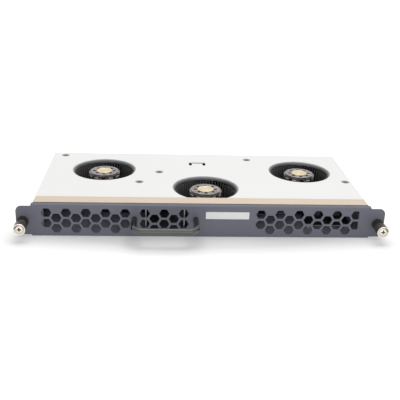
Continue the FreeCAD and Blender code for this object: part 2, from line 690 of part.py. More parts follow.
# ----------------------------------------------------------------------------------------------------
# Pull handle
# ----------------------------------------------------------------------------------------------------
def pull_handle():
    """One bent rod with a tapped hole in the end of each leg, and the two screws behind the plate."""
    body = new_body("handle_body")
    bind(body, {"Placement.Base.x": "handle_x", "Placement.Base.y": "front", "Placement.Base.z": "handle_z"})
    path = new_sketch(body, "handle_path", "XY")
    handle_route(path)
    section = new_sketch(body, "handle_section", "XZ")
    circle(section, "handle_rod", "-handle_span / 2")
    pipe = body.newObject("PartDesign::AdditivePipe", "handle_pipe")
    pipe.Profile = section
    pipe.Spine = (path, ["Edge%d" % n for n in range(1, 6)])
    threads = []
    screws = []
    for side in (-1, 1):
        x = "handle_x + %d * handle_span / 2" % side
        threads.append(rod("leg_thread_%d" % (side + 1), x, "front - handle_thread", "handle_z",
                           "handle_screw + seat_gap", "handle_thread + over", "Y"))
        head = rod("leg_head_%d" % (side + 1), x, "panel_back", "handle_z", "handle_screw_head",
                   "handle_screw_rise", "Y")
        shank = rod("leg_shank_%d" % (side + 1), x, "front - handle_thread + over", "handle_z",
                    "handle_screw", "handle_thread + panel_gauge", "Y")
        screws.append(fuse("leg_screw_%d" % (side + 1), head, shank))
    node(cut("handle", body, *threads), "pull_handle")
    node(group("leg_screws", *screws), "handle_screws")


def handle_route(sketch):
    """Leg, bend, bar, bend, leg."""
    half = num("handle_span / 2")
    reach = num("handle_reach")
    bend = num("handle_bend")
    slant = bend * (1 - math.sqrt(0.5))
    spots = [(-half, 0), (-half, -reach + bend), (-half + bend, -reach), (half - bend, -reach),
             (half, -reach + bend), (half, 0)]
    points = [FreeCAD.Vector(x, y, 0) for x, y in spots]
    mids = {
        1: FreeCAD.Vector(-half + slant, -reach + slant, 0),
        3: FreeCAD.Vector(half - slant, -reach + slant, 0),
    }
    ends = []
    for n in range(5):
        if n in mids:
            index = sketch.addGeometry(Part.Arc(points[n], mids[n], points[n + 1]), False)
            row = sketch.addConstraint(Sketcher.Constraint("Radius", index, bend))
            sketch.setExpression("Constraints[%d]" % row, ex("handle_bend"))
        else:
            index = sketch.addGeometry(Part.LineSegment(points[n], points[n + 1]), False)
        forward = sketch.getPoint(index, 1).distanceToPoint(points[n]) < TOUCH
        ends.append((index, 1, 2) if forward else (index, 2, 1))
    for (before, start, end), (after, first, last) in zip(ends, ends[1:]):
        sketch.addConstraint(Sketcher.Constraint("Coincident", before, end, after, first))
    marks = [
        ("-handle_span / 2", "0"),
        ("-handle_span / 2", "-handle_reach + handle_bend"),
        ("-handle_span / 2 + handle_bend", "-handle_reach"),
        ("handle_span / 2 - handle_bend", "-handle_reach"),
        ("handle_span / 2", "-handle_reach + handle_bend"),
    ]
    for n, (x, y) in enumerate(marks):
        pin_point(sketch, ends[n][0], ends[n][1], points[n], x, y)
    pin_point(sketch, ends[4][0], ends[4][2], points[5], "handle_span / 2", "0")


# ----------------------------------------------------------------------------------------------------
# Blowers
# ----------------------------------------------------------------------------------------------------
def scroll_face(grow):
    """The scroll with its straight outlet, seen from above, grown outwards by a wall thickness.

    The radius rises quarter by quarter, so each quarter is one elliptic arc.  Neighbouring quarters share a
    tangent."""
    left = num("scroll_left") + grow
    rear = num("scroll_rear") + grow
    right = num("scroll_right") + grow
    fore = num("scroll_front") + grow
    mouth = -num("outlet_front")
    inner = -num("scroll_left") + num("outlet_width") + grow
    edges = []
    for rx, ry, start, end in ((left, rear, 90, 180), (right, rear, 0, 90), (right, fore, 270, 360)):
        edges.append(ellipse_arc(rx, ry, start, end))
    cut_angle = math.degrees(math.acos(inner / fore))
    edges.append(ellipse_arc(fore, fore, 360 - cut_angle, 270))
    start = edges[-1].firstVertex().Point
    edges.append(Part.makeLine(start, FreeCAD.Vector(inner, mouth, 0)))
    edges.append(Part.makeLine(FreeCAD.Vector(inner, mouth, 0), FreeCAD.Vector(-left, mouth, 0)))
    edges.append(Part.makeLine(FreeCAD.Vector(-left, mouth, 0), FreeCAD.Vector(-left, 0, 0)))
    wire = Part.Wire(Part.__sortEdges__(edges))
    return Part.Face(wire)


def ellipse_arc(rx, ry, start, end):
    """Part of an ellipse on the axis, between two bearings in degrees."""
    origin = FreeCAD.Vector(0, 0, 0)
    if abs(rx - ry) < TOUCH:
        return Part.makeCircle(rx, origin, FreeCAD.Vector(0, 0, 1), start, end)
    if rx > ry:
        curve = Part.Ellipse(origin, rx, ry)
        return curve.toShape(math.radians(start), math.radians(end))
    curve = Part.Ellipse(FreeCAD.Vector(0, ry, 0), FreeCAD.Vector(-rx, 0, 0), origin)
    return curve.toShape(math.radians(start - 90), math.radians(end - 90))


def computed(name, shape, x, y, z, turn):
    """A piece with a worked-out shape, placed on a blower's axis."""
    obj = doc.addObject("Part::Feature", name)
    obj.Shape = shape
    spot = FreeCAD.Vector(num(x), num(y), num(z))
    obj.Placement = FreeCAD.Placement(spot, FreeCAD.Rotation(FreeCAD.Vector(0, 0, 1), num(turn)))
    return obj


def housing(side, x, y, turn):
    """Scroll wall and floor; open at the outlet and at the top."""
    wall = num("blower_gauge")
    over = num("over")
    high = num("plate_under - blower_lift")
    solid = scroll_face(wall).extrude(FreeCAD.Vector(0, 0, high))
    room = scroll_face(0).extrude(FreeCAD.Vector(0, 0, high))
    room.translate(FreeCAD.Vector(0, 0, wall))
    mouth_corner = FreeCAD.Vector(-num("scroll_left"), -num("outlet_front") - wall - over, wall)
    mouth = Part.makeBox(num("outlet_width"), wall + 2 * over, high, mouth_corner)
    seat = Part.makeCylinder(num("tube_outer + seat_gap"), wall + 2 * over, FreeCAD.Vector(0, 0, -over))
    shape = solid.cut([room, mouth, seat, lead_way(x, y, turn)]).removeSplitter()
    node(computed(side + "_housing_shape", shape, x, y, "blower_lift", turn), side + "_blower_housing")


def lead_way(x, y, turn):
    """Slot in the floor for the lead, cut in the housing's own unturned frame."""
    gap = num("slide_gap")
    over = num("over")
    wide = num("lead_width") + 2 * gap
    deep = num("lead_thick") + 2 * gap
    rise = num("(%s) - (%s)" % (lead_rise_y(x, y), y))
    corner = FreeCAD.Vector(-wide / 2, rise - deep / 2, -over)
    slot = Part.makeBox(wide, deep, num("blower_gauge") + 2 * over, corner)
    slot.rotate(FreeCAD.Vector(0, 0, 0), FreeCAD.Vector(0, 0, 1), -num(turn))
    return slot


def inlet_plate(side, x, y, turn):
    """Top plate with two screw tabs and a rolled bell mouth."""
    gauge = num("inlet_gauge")
    over = num("over")
    flat = scroll_face(num("blower_gauge")).extrude(FreeCAD.Vector(0, 0, gauge))
    tabs = []
    for reach, angle in (("ear_rear", "ear_rear_angle"), ("ear_front", "ear_front_angle")):
        tabs.append(screw_tab(num(reach), math.radians(num(angle)), gauge))
    body = flat.fuse(tabs)
    body = body.cut(Part.makeCylinder(num("bell_mouth"), gauge + 2 * over, FreeCAD.Vector(0, 0, -over)))
    shape = body.fuse(bell(gauge)).removeSplitter()
    node(computed(side + "_plate_shape", shape, x, y, "plate_under", turn), side + "_inlet_plate")


def screw_tab(reach, angle, gauge):
    """A rounded tab from the bell's edge out to a screw."""
    radius = num("ear_tab")
    along = FreeCAD.Rotation(FreeCAD.Vector(0, 0, 1), math.degrees(angle))
    root = num("bell_mouth")
    strip = Part.makeBox(reach - root, 2 * radius, gauge, FreeCAD.Vector(root, -radius, 0))
    end = Part.makeCylinder(radius, gauge, FreeCAD.Vector(reach, 0, 0))
    tab = strip.fuse(end)
    tab.Placement = FreeCAD.Placement(FreeCAD.Vector(0, 0, 0), along)
    return tab


def bell(gauge):
    """The bell mouth: a flared lip from the plate down to the throat's straight edge."""
    outer = num("bell_mouth")
    throat = num("throat")
    low = gauge - num("bell_depth")
    knee = gauge - num("bell_knee")
    corners = [(outer, gauge), (throat, knee), (throat, low), ((outer + throat) / 2, low), (outer, knee)]
    points = [FreeCAD.Vector(x, 0, z) for x, z in corners]
    face = Part.Face(Part.makePolygon(points + points[:1]))
    return face.revolve(FreeCAD.Vector(0, 0, 0), FreeCAD.Vector(0, 0, 1), 360)


def impeller(side, x, y):
    """Squirrel-cage rotor: back plate, forward-leaning blades and a top ring that ties their tips."""
    body = new_body(side + "_impeller_body")
    bind(body, {"Placement.Base.x": x, "Placement.Base.y": y, "Placement.Base.z": "impeller_base"})
    plate = body.newObject("PartDesign::AdditivePrism", side + "_back_plate")
    bind(plate, {"Polygon": "blade_count", "Circumradius": "rim_radius", "Height": "blade_plate"})
    bore = new_sketch(body, side + "_plate_bore", "XY", "blade_plate")
    circle(bore, "cup_radius + seat_gap")
    pocket(body, bore, "blade_plate", side + "_plate_hole")
    blade = new_sketch(body, side + "_blade_sketch", "XY", "blade_plate - blade_root")
    half = "blade_thick / 2"
    tip = "sqrt(blade_outer ^ 2 - blade_tip_lean ^ 2)"
    outline(blade, [
        ("blade_inner", "-" + half), ("blade_knee", "blade_knee_lean - " + half),
        (tip, "blade_tip_lean - " + half), (tip, "blade_tip_lean + " + half),
        ("blade_knee", "blade_knee_lean + " + half), ("blade_inner", half),
    ])
    vane = pad(body, blade, "impeller_top - impeller_base - blade_plate + blade_root", side + "_blade")
    polar(body, vane, blade, "blade_count", side + "_blades")
    node(fuse(side + "_impeller_whole", body, top_ring(side, x, y)), side + "_impeller")


def top_ring(side, x, y):
    """A many-sided hoop with one corner at each blade's tip."""
    lean = math.degrees(math.asin(num("blade_tip_lean / blade_outer")))
    low = "impeller_top - blade_ring"
    outer = prism(side + "_hoop_outer", x, y, low, "rim_radius", "blade_ring", "Z", "blade_count")
    inner = prism(side + "_hoop_inner", x, y, low + " - over", "rim_radius - blade_ring_width",
                  "blade_ring + 2 * over", "Z", "blade_count")
    for hoop in (outer, inner):
        hoop.Placement.Rotation = FreeCAD.Rotation(FreeCAD.Vector(0, 0, 1), lean)
    return cut(side + "_hoop", outer, inner)


def rotor_cup(side, x, y):
    """Steel cup with a stepped lid, air slots and windows; the ring magnet thickens its wall."""
    body = new_body(side + "_cup_body")
    bind(body, {"Placement.Base.x": x, "Placement.Base.y": y})
    profile = new_sketch(body, side + "_cup_profile", "XZ")
    outline(profile, [
        ("cup_inner", "impeller_base"), ("cup_radius", "impeller_base"),
        ("cup_radius", "cup_top - cup_step"), ("cup_top_radius", "cup_top - cup_step"),
        ("cup_top_radius", "cup_top"), ("shaft_radius + seat_gap", "cup_top"),
        ("shaft_radius + seat_gap", "cup_top - cup_lid"), ("cup_inner", "cup_top - cup_lid"),
    ])
    revolve(body, profile, side + "_cup_turned")
    slots = new_sketch(body, side + "_lid_slot", "XY", "cup_top")
    rectangle(slots, "lid_slot_start", "-lid_slot_width / 2", "lid_slot_end", "lid_slot_width / 2")
    slot = pocket(body, slots, "cup_lid + over", side + "_lid_air")
    polar(body, slot, slots, "cup_windows", side + "_lid_slots")
    window = new_sketch(body, side + "_window_sketch", "YZ", "cup_inner - over")
    high = "cup_top - cup_step - window_drop"
    rectangle(window, "-window_width / 2", high + " - window_height", "window_width / 2", high)
    opening = pocket(body, window, "cup_radius - cup_inner + 2 * over", side + "_window", True)
    polar(body, opening, slots, "cup_windows", side + "_windows")
    node(body, side + "_rotor_cup")


def rotor_core(side, x, y):
    """Brass boss on the lid, and the shaft through both."""
    blank = rod(side + "_boss_blank", x, y, "cup_top", "boss_radius", "boss_height")
    bore = rod(side + "_boss_bore", x, y, "cup_top - over", "shaft_radius", "boss_height + 2 * over")
    node(cut(side + "_boss", blank, bore), side + "_hub_boss")
    node(rod(side + "_shaft_rod", x, y, "housing_floor + shaft_foot", "shaft_radius",
             "cup_top + boss_height - shaft_sink - housing_floor - shaft_foot"), side + "_shaft")


def motor_stators():
    """Bearing tubes, bearings, cores, coils and boards of the three motors, one node for each kind."""
    tubes, bearings, cores, coils, boards = [], [], [], [], []
    for side, x, y, turn in BLOWERS:
        tubes.append(bearing_tube(side, x, y))
        bearings.append(shaft_bearing(side, x, y))
        cores.append(stator_core(side, x, y))
        coils += stator_coils(side, x, y)
        low = "housing_floor + motor_board_lift"
        disc = prism(side + "_board_disc", x, y, low, "motor_board_radius", "board_thick", "Z", "12")
        bore = rod(side + "_board_bore", x, y, low + " - over", "tube_outer + seat_gap",
                   "board_thick + 2 * over")
        boards.append(cut(side + "_motor_board", disc, bore))
    node(group("tubes", *tubes), "bearing_tubes")
    node(group("bearings", *bearings), "shaft_bearings")
    node(group("cores", *cores), "stator_cores")
    node(group("coils", *coils), "stator_coils")
    node(group("boards", *boards), "motor_boards")


def bearing_tube(side, x, y):
    """Brass tube that stands on the housing's floor, closed below."""
    outer = rod(side + "_tube_outer", x, y, "blower_lift", "tube_outer", "tube_height")
    bore = rod(side + "_tube_bore", x, y, "blower_lift + blower_gauge", "bearing_outer", "tube_height")
    return cut(side + "_tube", outer, bore)


def shaft_bearing(side, x, y):
    """Sleeve bearing pressed into the tube."""
    outer = rod(side + "_sleeve_outer", x, y, "tube_top - bearing_length", "bearing_outer", "bearing_length")
    bore = rod(side + "_sleeve_bore", x, y, "tube_top - bearing_length - over", "shaft_radius + running_gap",
               "bearing_length + 2 * over")
    return cut(side + "_sleeve", outer, bore)


def turned_box(name, x, y, z, start, long, wide, high, angle):
    """A block that points away from an axis at a bearing."""
    obj = doc.addObject("Part::Box", name)
    obj.Placement.Rotation = FreeCAD.Rotation(FreeCAD.Vector(0, 0, 1), angle)
    bind(obj, {"Length": long, "Width": wide, "Height": high})
    c = math.cos(math.radians(angle))
    s = math.sin(math.radians(angle))
    return place(obj, "(%s) + (%s) * %.12f + (%s) / 2 * %.12f" % (x, start, c, wide, s),
                 "(%s) + (%s) * %.12f - (%s) / 2 * %.12f" % (y, start, s, wide, c), z)


def stator_core(side, x, y):
    """Laminated core: hub ring and T-shaped teeth."""
    teeth = int(num("core_teeth"))
    tip = "core_tip - tip_inset - tip_depth"
    root = "tube_outer + hub_wall / 2"
    arms = [rod(side + "_core_hub", x, y, "core_base", "tube_outer + hub_wall", "core_height")]
    for n in range(teeth):
        angle = 360.0 / teeth * n
        arms.append(turned_box("%s_arm_%d" % (side, n), x, y, "core_base", root,
                               tip + " + tip_depth / 2 - (%s)" % root, "tooth_width", "core_height", angle))
        arms.append(turned_box("%s_foot_%d" % (side, n), x, y, "core_base", tip, "tip_depth", "tip_width",
                               "core_height", angle))
    bore = rod(side + "_core_bore", x, y, "core_base - over", "tube_outer + seat_gap",
               "core_height + 2 * over")
    return cut(side + "_core", fuse(side + "_core_star", *arms), bore)


def stator_coils(side, x, y):
    """One square coil round each tooth."""
    teeth = int(num("core_teeth"))
    coils = []
    for n in range(teeth):
        angle = 360.0 / teeth * n
        outer = turned_box("%s_coil_out_%d" % (side, n), x, y, "core_base - coil_over", "coil_start",
                           "coil_length", "coil_width", "core_height + 2 * coil_over", angle)
        inner = turned_box("%s_coil_in_%d" % (side, n), x, y, "core_base - seat_gap", "coil_start - over",
                           "coil_length + 2 * over", "tooth_width + 2 * seat_gap",
                           "core_height + 2 * seat_gap", angle)
        coils.append(cut("%s_coil_%d" % (side, n), outer, inner))
    return coils


def blower_screws():
    """Low-headed screws that hold the blowers' tabs to the roof."""
    screws = []
    for spot, x, y in blower_screw_points():
        head = rod("screw_head_" + spot, x, y, "roof_top - dimple_depth", "blower_screw_head",
                   "dimple_depth - seat_gap")
        shank = prism("screw_shank_" + spot, x, y, "roof_under", "blower_screw * 2 / sqrt(3)",
                      "shell_gauge - 2 * seat_gap")
        screws.append(fuse("screw_" + spot, head, shank))
    node(group("screws", *screws), "blower_screws")


# ----------------------------------------------------------------------------------------------------
# Captive screws
# ----------------------------------------------------------------------------------------------------
FASTENERS = [("left", "-fastener_spacing / 2"), ("right", "fastener_spacing / 2")]


def captive_screw(side, x, z):
    """Spring washer, spring, and a knob pressed on a necked screw, all behind and in the ferrule."""
    shoulder = "front - knob_front + knob_shoulder"
    disc = rod(side + "_washer_disc", x, shoulder, z, "spring_radius + washer_rim", "washer_thick", "Y")
    bore = rod(side + "_washer_bore", x, shoulder + " - over", z, "neck_radius + running_gap",
               "washer_thick + 2 * over", "Y")
    node(cut(side + "_washer", disc, bore), side + "_spring_washer")
    spring(side, x, z, shoulder + " + washer_thick + spring_play")
    knob(side, x, z)
    screw(side, x, z)


def ferrule(side, x, z):
    """Barrel riveted in the ear, with a flange in front and a lip behind that holds the screw captive."""
    tip = "front - ferrule_length"
    barrel = rod(side + "_ferrule_barrel", x, tip, z, "ferrule_radius", "ferrule_length + panel_gauge", "Y")
    flange = rod(side + "_ferrule_flange", x, "front - ferrule_flange_thick", z, "ferrule_flange",
                 "ferrule_flange_thick", "Y")
    bore = rod(side + "_ferrule_bore", x, tip + " - over", z, "ferrule_bore",
               "ferrule_length + panel_gauge - ferrule_lip + over", "Y")
    neck = rod(side + "_ferrule_neck", x, "front", z, "neck_radius + slide_gap", "panel_gauge + over", "Y")
    return cut(side + "_ferrule", fuse(side + "_ferrule_blank", barrel, flange), bore, neck)


def spring(side, x, z, start):
    """Coil of square wire between the washer and the ferrule's lip."""
    length = num("panel_back - ferrule_lip") - num(start)
    corners = int(num("spring_corners"))
    wire = num("spring_wire")
    radius = num("spring_radius")
    steps = int(num("spring_turns")) * corners
    points = []
    for n in range(steps + 1):
        angle = 2 * math.pi * n / corners
        height = wire / 2 + (length - wire) * n / steps
        points.append(FreeCAD.Vector(radius * math.cos(angle), radius * math.sin(angle), height))
    square = []
    for out, up in ((-1, -1), (1, -1), (1, 1), (-1, 1)):
        square.append(points[0] + FreeCAD.Vector(out, 0, up) * (wire / 2))
    path = Part.makePolygon(points)
    coil = path.makePipeShell([Part.makePolygon(square + square[:1])], True, True, 1)
    obj = doc.addObject("Part::Feature", side + "_spring_coil")
    obj.Shape = coil
    along_y = FreeCAD.Rotation(FreeCAD.Vector(1, 0, 0), -90)
    obj.Placement = FreeCAD.Placement(FreeCAD.Vector(num(x), num(start), num(z)), along_y)
    node(obj, side + "_spring")


def knob(side, x, z):
    """Many-sided grip with a front cup for the screw's head and a skirt that passes over the ferrule."""
    nose = "front - knob_front"
    grip = prism(side + "_knob_grip", x, nose, z, "knob_radius", "knob_length", "Y", "knob_sides")
    recess = rod(side + "_knob_recess", x, nose + " - over", z, "knob_radius - cup_rim",
                 "cup_recess + over", "Y")
    skirt = rod(side + "_knob_skirt", x, nose + " + knob_shoulder", z, "knob_radius - knob_wall",
                "knob_length", "Y")
    bore = rod(side + "_knob_bore", x, nose, z, "neck_radius", "knob_length", "Y")
    node(cut(side + "_knob", grip, recess, skirt, bore), side + "_knob")


def screw(side, x, z):
    """Raised head with a cross recess, slim neck, and a thread too wide for the ferrule's lip."""
    seat = "front - knob_front + cup_recess"
    head = rod(side + "_screw_head", x, seat + " - head_rise", z, "head_radius", "head_rise", "Y")
    neck = rod(side + "_screw_neck", x, seat, z, "neck_radius",
               "knob_front - cup_recess + panel_gauge + over", "Y")
    thread = rod(side + "_screw_thread", x, "panel_back + slide_gap", z, "thread_radius",
                 "thread_out - slide_gap", "Y")
    bars = []
    for wide, high in (("cross_span", "cross_width"), ("cross_width", "cross_span")):
        bars.append(box("%s_%s" % (side, wide), "(%s) - %s / 2" % (x, wide), seat + " - head_rise - over",
                        "%s - %s / 2" % (z, high), wide, "cross_depth + over", high))
    blank = fuse(side + "_screw_blank", head, neck, thread)
    node(cut(side + "_screw", blank, *bars), side + "_captive_screw")


# ----------------------------------------------------------------------------------------------------
# Electronics and wiring
# ----------------------------------------------------------------------------------------------------
def control_electronics():
    """Control board on four supports, with one header for each lead and one for the power harness."""
    top = "board_z + board_thick"
    node(box("board", "board_left", "board_front", "board_z", "board_width", "board_depth", "board_thick"),
         "control_board")
    legs = []
    for n, dx in enumerate(("leg_inset", "board_width - leg_inset")):
        for m, dy in enumerate(("leg_inset", "board_depth - leg_inset")):
            legs.append(prism("board_leg_%d_%d" % (n, m), "board_left + " + dx, "board_front + " + dy,
                              "floor_gauge", "leg_radius", "board_lift"))
    node(group("board_legs", *legs), "board_supports")
    heads = []
    for n in range(len(BLOWERS) + 1):
        heads.append(box("header_%d" % n, "board_left + header_start + %d * header_pitch" % n,
                         "header_rear - header_depth", top, "header_width", "header_depth", "header_height"))
    node(group("headers", *heads), "board_headers")
    chip = box("driver_chip", "board_left + chip_x", "board_front + chip_y", top, "chip_side", "chip_side",
               "chip_height")
    regulator = box("regulator", "board_left + regulator_x", "board_front + chip_y", top, "regulator_side",
                    "regulator_side", "regulator_height")
    node(group("chips", chip, regulator), "board_components")


def rear_plug():
    """Blade connector in the rear wall: body, inside flange and power blades."""
    inner = "rear - shell_gauge"
    through = box("plug_through", "plug_left", inner + " - plug_inside", "plug_low", "plug_width",
                  "plug_inside + shell_gauge + plug_reach", "plug_height")
    flange = box("plug_flange_plate", "plug_left - plug_flange", inner + " - plug_flange",
                 "plug_low - plug_flange", "plug_width + 2 * plug_flange", "plug_flange",
                 "plug_height + 2 * plug_flange")
    room = "(plug_width - 2 * plug_wall)"
    well = box("plug_well", "plug_left + plug_wall", "rear", "plug_low + plug_wall", room,
               "plug_reach + over", "plug_height - 2 * plug_wall")
    pins = []
    count = int(num("plug_pins"))
    for n in range(count):
        x = "plug_left + plug_wall + %s * (%d + 0.5) / plug_pins - pin_thick / 2" % (room, n)
        pins.append(box("plug_pin_%d" % n, x, "rear - pin_sink", "plug_z - pin_height / 2", "pin_thick",
                        "plug_reach", "pin_height"))
    node(fuse("plug", cut("plug_body", fuse("plug_blank", through, flange), well), *pins), "rear_connector")


def lead_rise_y(x, y):
    """Where a blower's lead rises: on the side of the motor that faces the lead's run."""
    return y + " - lead_rise" if num(y) > num("-lead_lane + 3 * lead_pitch") else y + " + lead_rise"


def leads():
    """Flat leads from the motor boards along the bottom cover to their headers."""
    for n, (side, x, y, turn) in enumerate(BLOWERS):
        rise = lead_rise_y(x, y)
        lane = "-lead_lane + %d * lead_pitch" % n
        head = "first_head + %d * header_pitch" % n
        runs = [
            box(side + "_lead_rise", x + " - lead_width / 2", rise + " - lead_thick / 2", "lead_low",
                "lead_width", "lead_thick", "housing_floor + motor_board_lift - lead_low"),
            lead_run(side + "_lead_out", (x, rise), (x, lane)),
            lead_run(side + "_lead_across", (x, lane), (head, lane)),
            lead_run(side + "_lead_in", (head, lane), (head, "lead_turn")),
        ] + header_end(side, head)
        node(fuse(side + "_lead", *runs), side + "_blower_lead")


def power_harness():
    """Flat lead from the last header round the right-hand blower to the rear connector."""
    head = "first_head + %d * header_pitch" % len(BLOWERS)
    back = "rear - harness_back"
    left = "blower_x - lead_width / 2"
    near = back + " - lead_thick / 2"
    runs = [
        lead_run("harness_along", (head, "lead_turn"), (head, back)),
        lead_run("harness_across", (head, back), ("blower_x", back)),
        box("harness_rise", left, near, "lead_low", "lead_width", "lead_thick", "plug_z - lead_low"),
        box("harness_end", left, near, "plug_z - lead_thick", "lead_width",
            "rear - shell_gauge - plug_inside - (%s)" % near, "lead_thick"),
    ] + header_end("harness", head)
    node(fuse("harness", *runs), "power_harness")


def lead_run(name, start, end):
    """A straight run on the cover between two middle points, long enough to fill the corners."""
    (xa, ya), (xb, yb) = start, end
    left, right = (xa, xb) if num(xa) <= num(xb) else (xb, xa)
    near, far = (ya, yb) if num(ya) <= num(yb) else (yb, ya)
    long = "(%s) - (%s) + lead_width" % (right, left)
    deep = "(%s) - (%s) + lead_width" % (far, near)
    return box(name, "(%s) - lead_width / 2" % left, "(%s) - lead_width / 2" % near, "lead_low", long, deep,
               "lead_thick")


def header_end(name, head):
    """The lead's rise behind the board and its end in the header."""
    left = "(%s) - lead_width / 2" % head
    edge = "board_rear + lead_board_gap"
    middle = "board_z + board_thick + header_height / 2"
    rise = box(name + "_header_rise", left, edge, "lead_low", "lead_width", "lead_thick",
               middle + " - lead_low")
    end = box(name + "_header_end", left, "header_rear", middle + " - lead_thick", "lead_width",
              "board_rear - header_rear + lead_board_gap + lead_thick", "lead_thick")
    return [rise, end]


def build_all():
    """Every node, from the case inwards."""
    shell()
    bottom_cover()
    face_plate()
    front_trim()
    pull_handle()
    for side, x, y, turn in BLOWERS:
        housing(side, x, y, turn)
        inlet_plate(side, x, y, turn)
        impeller(side, x, y)
        rotor_cup(side, x, y)
        rotor_core(side, x, y)
    motor_stators()
    blower_screws()
    node(group("ferrules", *[ferrule(side, x, "fastener_height") for side, x in FASTENERS]), "ear_ferrules")
    for side, x in FASTENERS:
        captive_screw(side, x, "fastener_height")
    control_electronics()
    rear_plug()
    leads()
    power_harness()


def write_all():
    """Checks every node, then writes one STEP file for each."""
    doc.recompute()
    broken = [item.Name for item in doc.Objects if "Invalid" in item.State or "Error" in item.State]
    broken += [item.Label for item in NODES if item.Shape.isNull() or not item.Shape.isValid()]
    if broken:
        raise SystemExit("failed: " + ", ".join(broken))
    os.makedirs("parts", exist_ok=True)
    for item in NODES:
        item.Shape.exportStep("parts/%s.step" % item.Label)
        print("%-22s %3d solids  %10.1f mm3" % (item.Label, len(item.Shape.Solids), item.Shape.Volume))


build_all()
write_all()
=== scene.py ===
"""Looks of a one-unit rack fan tray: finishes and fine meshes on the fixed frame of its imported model."""
import json
import logging
import math
from dataclasses import dataclass, replace
from enum import Enum
from typing import Callable, Optional, Sequence

import bmesh
import bpy
from mathutils import Matrix, Vector


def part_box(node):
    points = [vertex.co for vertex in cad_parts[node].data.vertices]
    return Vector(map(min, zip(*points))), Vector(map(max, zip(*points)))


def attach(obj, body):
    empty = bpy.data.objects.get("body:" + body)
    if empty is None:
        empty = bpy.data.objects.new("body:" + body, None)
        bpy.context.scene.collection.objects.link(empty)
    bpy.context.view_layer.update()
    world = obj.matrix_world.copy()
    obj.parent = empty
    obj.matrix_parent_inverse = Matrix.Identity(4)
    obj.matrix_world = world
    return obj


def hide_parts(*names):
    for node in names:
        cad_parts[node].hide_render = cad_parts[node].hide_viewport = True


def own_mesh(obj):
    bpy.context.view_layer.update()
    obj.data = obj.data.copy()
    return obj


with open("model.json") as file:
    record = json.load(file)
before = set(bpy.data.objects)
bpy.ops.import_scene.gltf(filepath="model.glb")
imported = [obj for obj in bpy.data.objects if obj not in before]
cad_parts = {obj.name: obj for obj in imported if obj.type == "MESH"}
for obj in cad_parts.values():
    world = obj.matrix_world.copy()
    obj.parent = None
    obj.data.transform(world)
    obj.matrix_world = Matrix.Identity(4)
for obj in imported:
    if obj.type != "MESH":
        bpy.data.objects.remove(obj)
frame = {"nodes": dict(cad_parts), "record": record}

LOG = logging.getLogger("fan_tray")
MM = 0.001
SIDES = ("left", "middle", "right")
ENDS = ("left", "right")
TOUCH = 1e-6
Colour = tuple[float, float, float]
Point = tuple[float, float, float]
Pair = tuple[float, float]
Inputs = dict[object, object]
Tree = bpy.types.NodeTree
Node = bpy.types.Node
Socket = bpy.types.NodeSocket
Thing = bpy.types.Object
Mesh = bmesh.types.BMesh
Vertex = bmesh.types.BMVert


# -- Shader nodes and groups -------------------------------
class Grain(Enum):
    """How a finish varies over its surface."""

    PLAIN = "fine speckle"
    BRUSHED = "brushed lines"
    CLOTH = "ripstop cloth"
    WOUND = "wound wire"


class Blend(Enum):
    """What a mix blends: Blender's name for it, the number of its first input and of its output."""

    VALUE = ("FLOAT", 2, 0)
    COLOUR = ("RGBA", 6, 2)


def feed(node: Node, inputs: Inputs) -> None:
    """Lead sockets into a node's inputs, and set the other inputs to plain values.

    Args:
        node: The node.
        inputs: A socket or a plain value for each input, by its name or number.
    """
    for key, item in inputs.items():
        if isinstance(item, Socket):
            node.id_data.links.new(item, node.inputs[key])
        else:
            node.inputs[key].default_value = item


def add_node(tree: Tree, kind: str, inputs: Inputs, **settings: object) -> Node:
    """Add a node to a tree.

    Args:
        tree: The tree.
        kind: Blender's name of the node type, without "ShaderNode".
        inputs: A socket or a plain value for each input, by its name or number.
        settings: Properties of the node.

    Returns:
        The new node.
    """
    made = tree.nodes.new(f"ShaderNode{kind}")
    for key, value in settings.items():
        setattr(made, key, value)
    feed(made, inputs)
    return made


def find_node(tree: Tree, kind: str) -> Node:
    """Return the first node of a kind in a tree."""
    return next(node for node in tree.nodes if node.type == kind)


def own_place(tree: Tree) -> Socket:
    """Add the object's own coordinates to a tree, and return their socket."""
    return add_node(tree, "TexCoord", {}).outputs["Object"]


def reckon(tree: Tree, operation: str, *items: object) -> Socket:
    """Add a sum on sockets and plain numbers.

    Args:
        tree: The tree.
        operation: Blender's name of the operation.
        items: A socket or a number for each input.

    Returns:
        The result's socket.
    """
    return add_node(tree, "Math", dict(enumerate(items)), operation=operation).outputs[0]


def mixed(tree: Tree, blend: Blend, share: Socket, first: object, second: object) -> Socket:
    """Add a mix of two values or two colours.

    Args:
        tree: The tree.
        blend: What is mixed.
        share: Socket of the second one's share.
        first: A socket or a value.
        second: A socket or a value.

    Returns:
        The mix's socket.
    """
    kind, start, result = blend.value
    inputs = {0: share, start: first, start + 1: second}
    return add_node(tree, "Mix", inputs, data_type=kind).outputs[result]


def new_material(name: str) -> tuple[bpy.types.Material, Tree]:
    """Make a material with nodes.

    Args:
        name: Its name.

    Returns:
        The material and its nodes.
    """
    material = bpy.data.materials.new(name)
    material.use_nodes = True
    return material, material.node_tree


